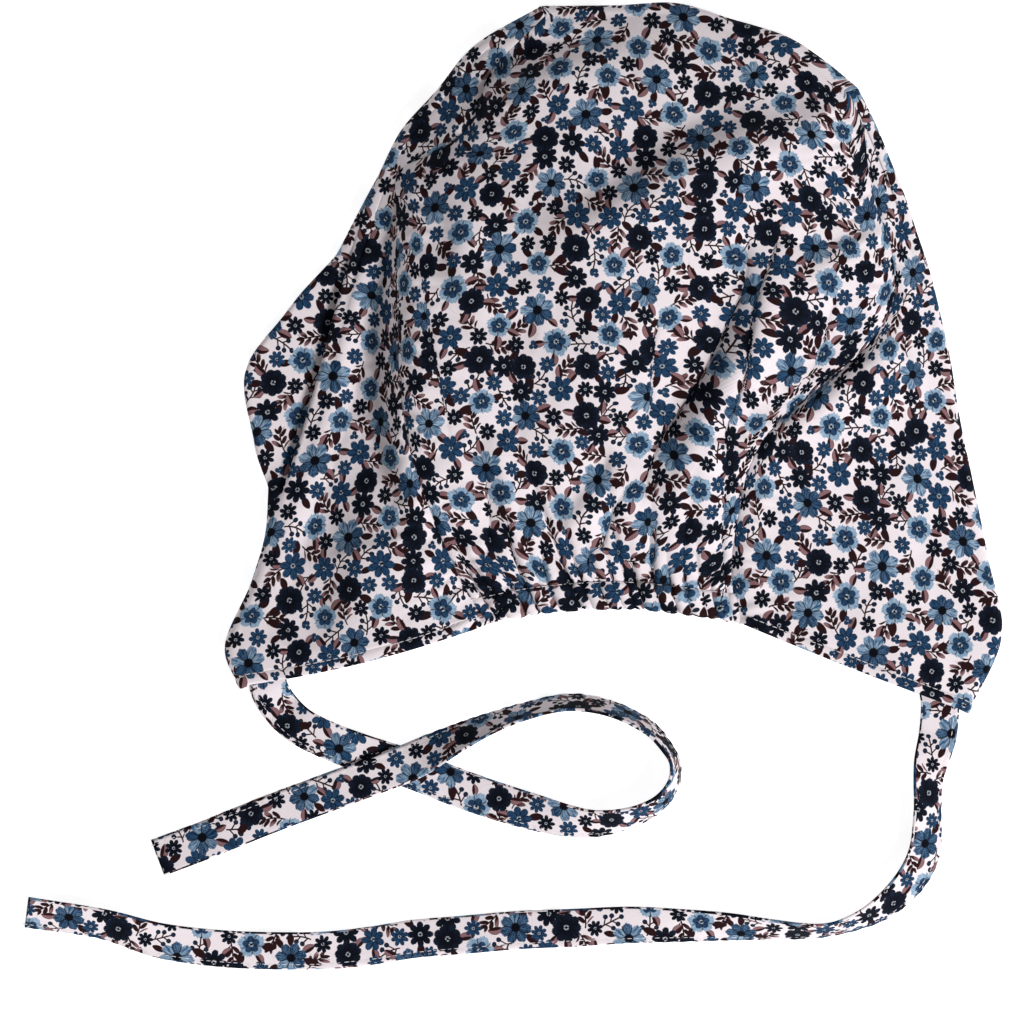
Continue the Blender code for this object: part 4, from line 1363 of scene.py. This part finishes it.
band_points = band_grid()
half = SIDE_COLUMNS + TUCK_POINTS + UNDER_COLUMNS // 2
behind_start = SIDE_COLUMNS + len(BEND_ANGLES) + 2
behind_columns = (behind_start, behind_start + BEHIND_COLUMNS)
left_under = SIDE_COLUMNS + TUCK_POINTS
right_under = SIDE_COLUMNS + TURN_STEPS + 1
left_points, right_points = band_points[:, :half], band_points[:, half:][:, ::-1]
left_cloth = unrolled(left_points, -BAND_PRINT_SHIFT, left_under, LEFT_FLANK, behind_columns)
right_cloth = unrolled(right_points, BAND_PRINT_SHIFT, right_under, RIGHT_FLANK)
band_cloth = np.concatenate([left_cloth, right_cloth[:, ::-1]], axis=1)
hem_rows = len(HEM_LENGTHS) - 1
for name, first, last in (("band_left", 0, half), ("band_right", half - 1, band_points.shape[1])):
    piece_points = band_points[hem_rows:, first:last]
    piece_cloth = band_cloth[hem_rows:, first:last].copy()
    if name == "band_right":
        piece_cloth[:, 0] = 2 * piece_cloth[:, 1] - piece_cloth[:, 2]
    band = cloth_mesh(name, piece_points, piece_cloth, BAND_WALL, (printed, printed_back), True)
    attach(band, "root")
    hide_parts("band")

# The crown: the big rounded piece, seamed to the band at both sides, going over the top of
# the cap and a little way underneath, and gathered into the nape casing.
CROWN_COLUMNS = 212
CROWN_ROWS = 186
UNDERLAP_ROWS = 8
CASING_HEIGHT = 0.012
CASING_HUNDREDTHS = (0, 2, 6, 12, 19, 27, 36, 45, 54, 63, 72, 80, 87, 93, 97)
CASING_SHARES = np.array(CASING_HUNDREDTHS) / 100
GATHER_COUNT = 18
GATHER_SEED = 5
GATHER_DEPTH = 0.0042
GATHER_WIDTH = 0.0013
GATHER_FADE = 1.4
GATHER_SPREAD = 0.07
GATHER_STEP = 0.30
GATHER_HIDDEN = 0.0022
GATHER_REACHES = (0.009, 0.014, 0.024, 0.045)
STITCH_DIP = 0.0008
STITCH_DIP_REACH = 0.0012
SCALLOP_DEPTH = 0.0009
SCALLOP_WIDTH = 0.0014
END_FADE = 1 / 18
Gather = namedtuple("Gather", "place lean depth reach width hidden")


def gather_row():
    """The gathers, unevenly spaced and of uneven depth and height."""
    rng = np.random.default_rng(GATHER_SEED)
    row = []
    for index in range(GATHER_COUNT):
        place = (index + 0.5 + rng.uniform(-0.32, 0.32)) / GATHER_COUNT
        share = rng.uniform(0.45, 1.35)
        lean = rng.uniform(-1.5, 1.5)
        reach = rng.choice(GATHER_REACHES)
        width = GATHER_WIDTH * rng.uniform(0.8, 1.4)
        row.append(Gather(place, lean, GATHER_DEPTH * share, reach, width, GATHER_HIDDEN * share))
    return row


GATHERS = gather_row()


def crown_plan(across, up):
    """Plan points of the seen part of the nape casing and crown, from the rim to the top turn."""
    across_share, up_share = across[..., None], up[..., None]
    rim = spline(nape_edge, across) - mix(nape_edge[0], nape_edge[-1], across_share)
    top = seen_outline.middle(1 + across, FOLD_RADIUS) - mix(top_left, top_right, across_share)
    straight = mix(spline(left_seam, up), spline(right_seam, up), across_share)
    return straight + (1 - up_share) * rim + up_share * top


def above_casing(across, points):
    return points[..., 1] - spline(nape_edge, across)[..., 1] - CASING_HEIGHT


def from_ends(across):
    """1 along the casing, down to 0 at either end of it."""
    return np.clip(np.minimum(across, 1 - across) / END_FADE, 0, 1)


def spread_of(gather, across, points):
    """How far points lie from a gather, how much of it is left there, and how far up they are."""
    free = np.maximum(above_casing(across, points), 0)
    width = np.linalg.norm(points[:, -1:] - points[:, :1], axis=-1)
    away = (across - gather.place - gather.lean * free) * width
    return away, np.exp(-((free / gather.reach) ** GATHER_FADE)), free


def gathers(across, points):
    """Height of the gathers, drawn up by the elastic in the casing and dying out above it."""
    height = -STITCH_DIP * bell(above_casing(across, points), STITCH_DIP_REACH)
    for gather in GATHERS:
        away, left, free = spread_of(gather, across, points)
        width = gather.width + GATHER_SPREAD * free
        step = GATHER_STEP * np.tanh(away / width) * bell(away, 3 * GATHER_WIDTH)
        height = height + gather.depth * (step - nip(away, width)) * left
    return height * from_ends(across)


def hidden_in_gathers(across, points):
    """How far the gathers shift the cloth across, by the cloth that they hide."""
    shift = np.zeros(points.shape[:-1])
    for gather in GATHERS:
        away, left, _ = spread_of(gather, across, points)
        shift += gather.hidden / 2 * np.tanh(away / GATHER_WIDTH) * left
    return shift


def crown_seen(across, up, wall):
    points = crown_plan(across, up)
    found = on_seen_side(points, wall)
    found[..., 2] += gathers(across, points)
    return found


def hidden_cloth(points):
    """How far creases and seams shift the cloth at each plan point, by the cloth that they hide."""
    shift = np.zeros(points.shape)
    for crease in CREASES:
        away, share = distance_to_curve(points, curve_through(crease.points))
        run = np.subtract(crease.points[-1], crease.points[0])
        across = unit(np.array([run[1], -run[0]]))
        amount = crease.hidden / 2 * np.tanh(away / NIP_SOFTNESS) * np.sin(math.pi * share)
        shift += (amount * bell(away, STEP_REACH))[..., None] * across
    for seam, (outward, centre) in ((left_seam, LEFT_FLANK), (right_seam, RIGHT_FLANK)):
        away = np.abs(from_seam(points, seam)[0])
        along = points[..., 1]
        left = hidden_at_seam(along, FAR, centre) - hidden_at_seam(along, away, centre)
        shift += left[..., None] * outward
    return shift


def crown_grid():
    across = np.linspace(0, 1, CROWN_COLUMNS + 1)
    step = crown_plan(across, SHORT_STEP + 0 * across) - crown_plan(across, 0 * across)
    casing_top = CASING_HEIGHT / np.linalg.norm(step, axis=-1) * SHORT_STEP
    levels = np.linspace(0, 1, CROWN_ROWS + 1)[:, None]
    up = np.concatenate([CASING_SHARES[:, None] * casing_top, mix(casing_top, 1.0, levels)])
    across_all = np.broadcast_to(across, up.shape)
    seen = crown_seen(across_all, up, CLOTH_WALL)
    drawn_up = np.zeros(len(across))
    for gather in GATHERS:
        away = (across - gather.place) * np.linalg.norm(seen[0, -1] - seen[0, 0])
        drawn_up += SCALLOP_DEPTH * gather.depth / GATHER_DEPTH * bell(away, SCALLOP_WIDTH)
    seen[..., 1] += drawn_up * from_ends(across) * np.clip(1 - up / casing_top, 0, 1)
    shares = np.arange(1, TURN_STEPS + 1) / TURN_STEPS
    turn = [plain_turn(share, 1 + across, CLOTH_WALL) for share in shares]
    inner = turn[-1][..., :2]
    shares = np.arange(1, UNDERLAP_ROWS + 1) / UNDERLAP_ROWS
    under = [with_height(mix(inner, underlap_edge(across), share), CLOTH_WALL / 2) for share in shares]
    return np.concatenate([seen, np.stack(turn + under)]), len(seen)


def stretch(steps):
    """By what share steps along the cloth are longer than they are on the plan."""
    return np.linalg.norm(steps, axis=-1) / np.linalg.norm(steps[..., :2], axis=-1) - 1


def crown_cloth_places(grid, across_shares, seen_rows):
    """Places on the flat cloth: as on the plan, with the length that slopes and creases take up."""
    middle = grid.shape[1] // 2
    seen = grid[:seen_rows]
    across, along = np.diff(seen, axis=1), np.diff(seen, axis=0)
    spare = np.zeros(seen.shape[:2] + (2,))
    spare[:, 1:, 0] = np.cumsum(across[..., 0] * stretch(across), axis=1)
    spare[..., 0] -= spare[:, middle : middle + 1, 0]
    spare[1:, :, 1] = np.cumsum(along[..., 1] * stretch(along), axis=0)
    places = seen[..., :2] + smoothed(spare) + hidden_cloth(seen[..., :2])
    places[..., 0] += hidden_in_gathers(across_shares, seen[..., :2])
    beyond = np.linalg.norm(np.diff(grid[seen_rows - 1 :], axis=0), axis=-1)
    rest = np.repeat(places[-1:], len(beyond), axis=0)
    rest[..., 1] += np.cumsum(beyond, axis=0)
    return np.concatenate([places, rest])


crown_points, seen_rows = crown_grid()
crown_cloth = crown_cloth_places(crown_points, np.linspace(0, 1, CROWN_COLUMNS + 1), seen_rows)
casing_rows = len(CASING_SHARES)
above_rows = slice(casing_rows, None)
both_sides = (printed, printed_back)
crown = cloth_mesh("crown_cloth", crown_points[above_rows], crown_cloth[above_rows], BAND_WALL, both_sides)
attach(crown, "root")
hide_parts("crown")

# The nape casing: the crown's lower edge folded in and topstitched, with elastic inside.
CASING_WALL = 0.0030
CASING_EDGE = 0.16
CASING_TOP = (0.95, 0.84, 0.66, 0.48, 0.33, 0.15)
STITCH_LIFT = 0.24


def round_edge(shares):
    """Thickness of a folded edge, as a share of its full thickness, over its first part."""
    return np.sqrt(np.clip(1 - (1 - np.clip(shares, 0, 1)) ** 2, 0.02, 1))


casing_shares = np.append(CASING_SHARES, [1.0, 1.0])
casing_thickness = CASING_WALL * round_edge(casing_shares / CASING_EDGE)
casing_thickness[-len(CASING_TOP) :] *= CASING_TOP
rolled_rows = casing_rows + 2
ring, places = rolled_edge(crown_points[:rolled_rows], crown_cloth[:rolled_rows], casing_thickness)
casing = cloth_mesh("nape_casing_roll", ring, places, 0.0, (printed,))
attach(casing, "root")
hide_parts("nape_casing")
stitch_place = crown_points[casing_rows - 1, 1:-1].copy()
stitch_place[:, 2] += CASING_WALL * STITCH_LIFT + THREAD_RADIUS
casing_sewing = stitches("casing_stitches", stitch_place)

# Thread ends: where the crown's seams meet the rim their thread was cut off long, and a few
# short curled ends of it stand out over the edge.
THREAD_END_LENGTH = 0.0034
THREAD_END_RADIUS = 0.00013
THREAD_END_LIFT = 0.0012
THREAD_END_STEPS = 7
ENDS_AT_A_FOOT = 5
THREAD_SEED = 3


def loose_threads(name, feet):
    """Short curled ends of sewing thread that start at each of the feet."""
    rng = np.random.default_rng(THREAD_SEED)
    curve = bpy.data.curves.new(name, "CURVE")
    curve.dimensions = "3D"
    curve.bevel_depth = THREAD_END_RADIUS
    curve.bevel_resolution = 1
    curve.use_fill_caps = True
    for foot in feet:
        for _ in range(ENDS_AT_A_FOOT):
            heading, turn = rng.uniform(0, 2 * math.pi), rng.uniform(-2.0, 2.0)
            step = THREAD_END_LENGTH / THREAD_END_STEPS * rng.uniform(0.5, 1.1)
            point = np.array(foot) + np.array([0.0, 0.0, THREAD_END_LIFT])
            end = curve.splines.new("POLY")
            end.points.add(THREAD_END_STEPS)
            for index, knot in enumerate(end.points):
                knot.co = (*point, 1.0)
                angle = heading + turn * index / THREAD_END_STEPS
                way = (math.cos(angle), math.sin(angle), rng.uniform(-0.35, 0.25))
                point = point + step * np.array(way)
    drawn = add_object(name + "_line", curve)
    mesh = applied(drawn)
    bpy.data.objects.remove(drawn)
    mesh.materials.clear()
    mesh.materials.append(thread)
    made = add_object(name, mesh)
    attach(made, "root")
    return made


thread_ends = loose_threads("seam_thread_ends", crown_points[0, [1, -2]])

# The rim hem: the band's lower edge folded in and topstitched all round the rim.
HEM_EDGE = 0.0011
HEM_TOP = (0.85, 0.65, 0.52, 0.42, 0.15)
hem_thickness = HEM_WALL * round_edge(HEM_LENGTHS / HEM_EDGE)
hem_thickness[-len(HEM_TOP) :] *= HEM_TOP
rolled = slice(0, len(HEM_LENGTHS)), slice(None, None, -1)
ring, places = rolled_edge(band_points[rolled], band_cloth[rolled], hem_thickness)
hem = cloth_mesh("rim_hem_roll", ring, places, 0.0, (printed,))
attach(hem, "root")
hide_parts("rim_hem")
hem_sewing = stitches("hem_stitches", ring[-3])
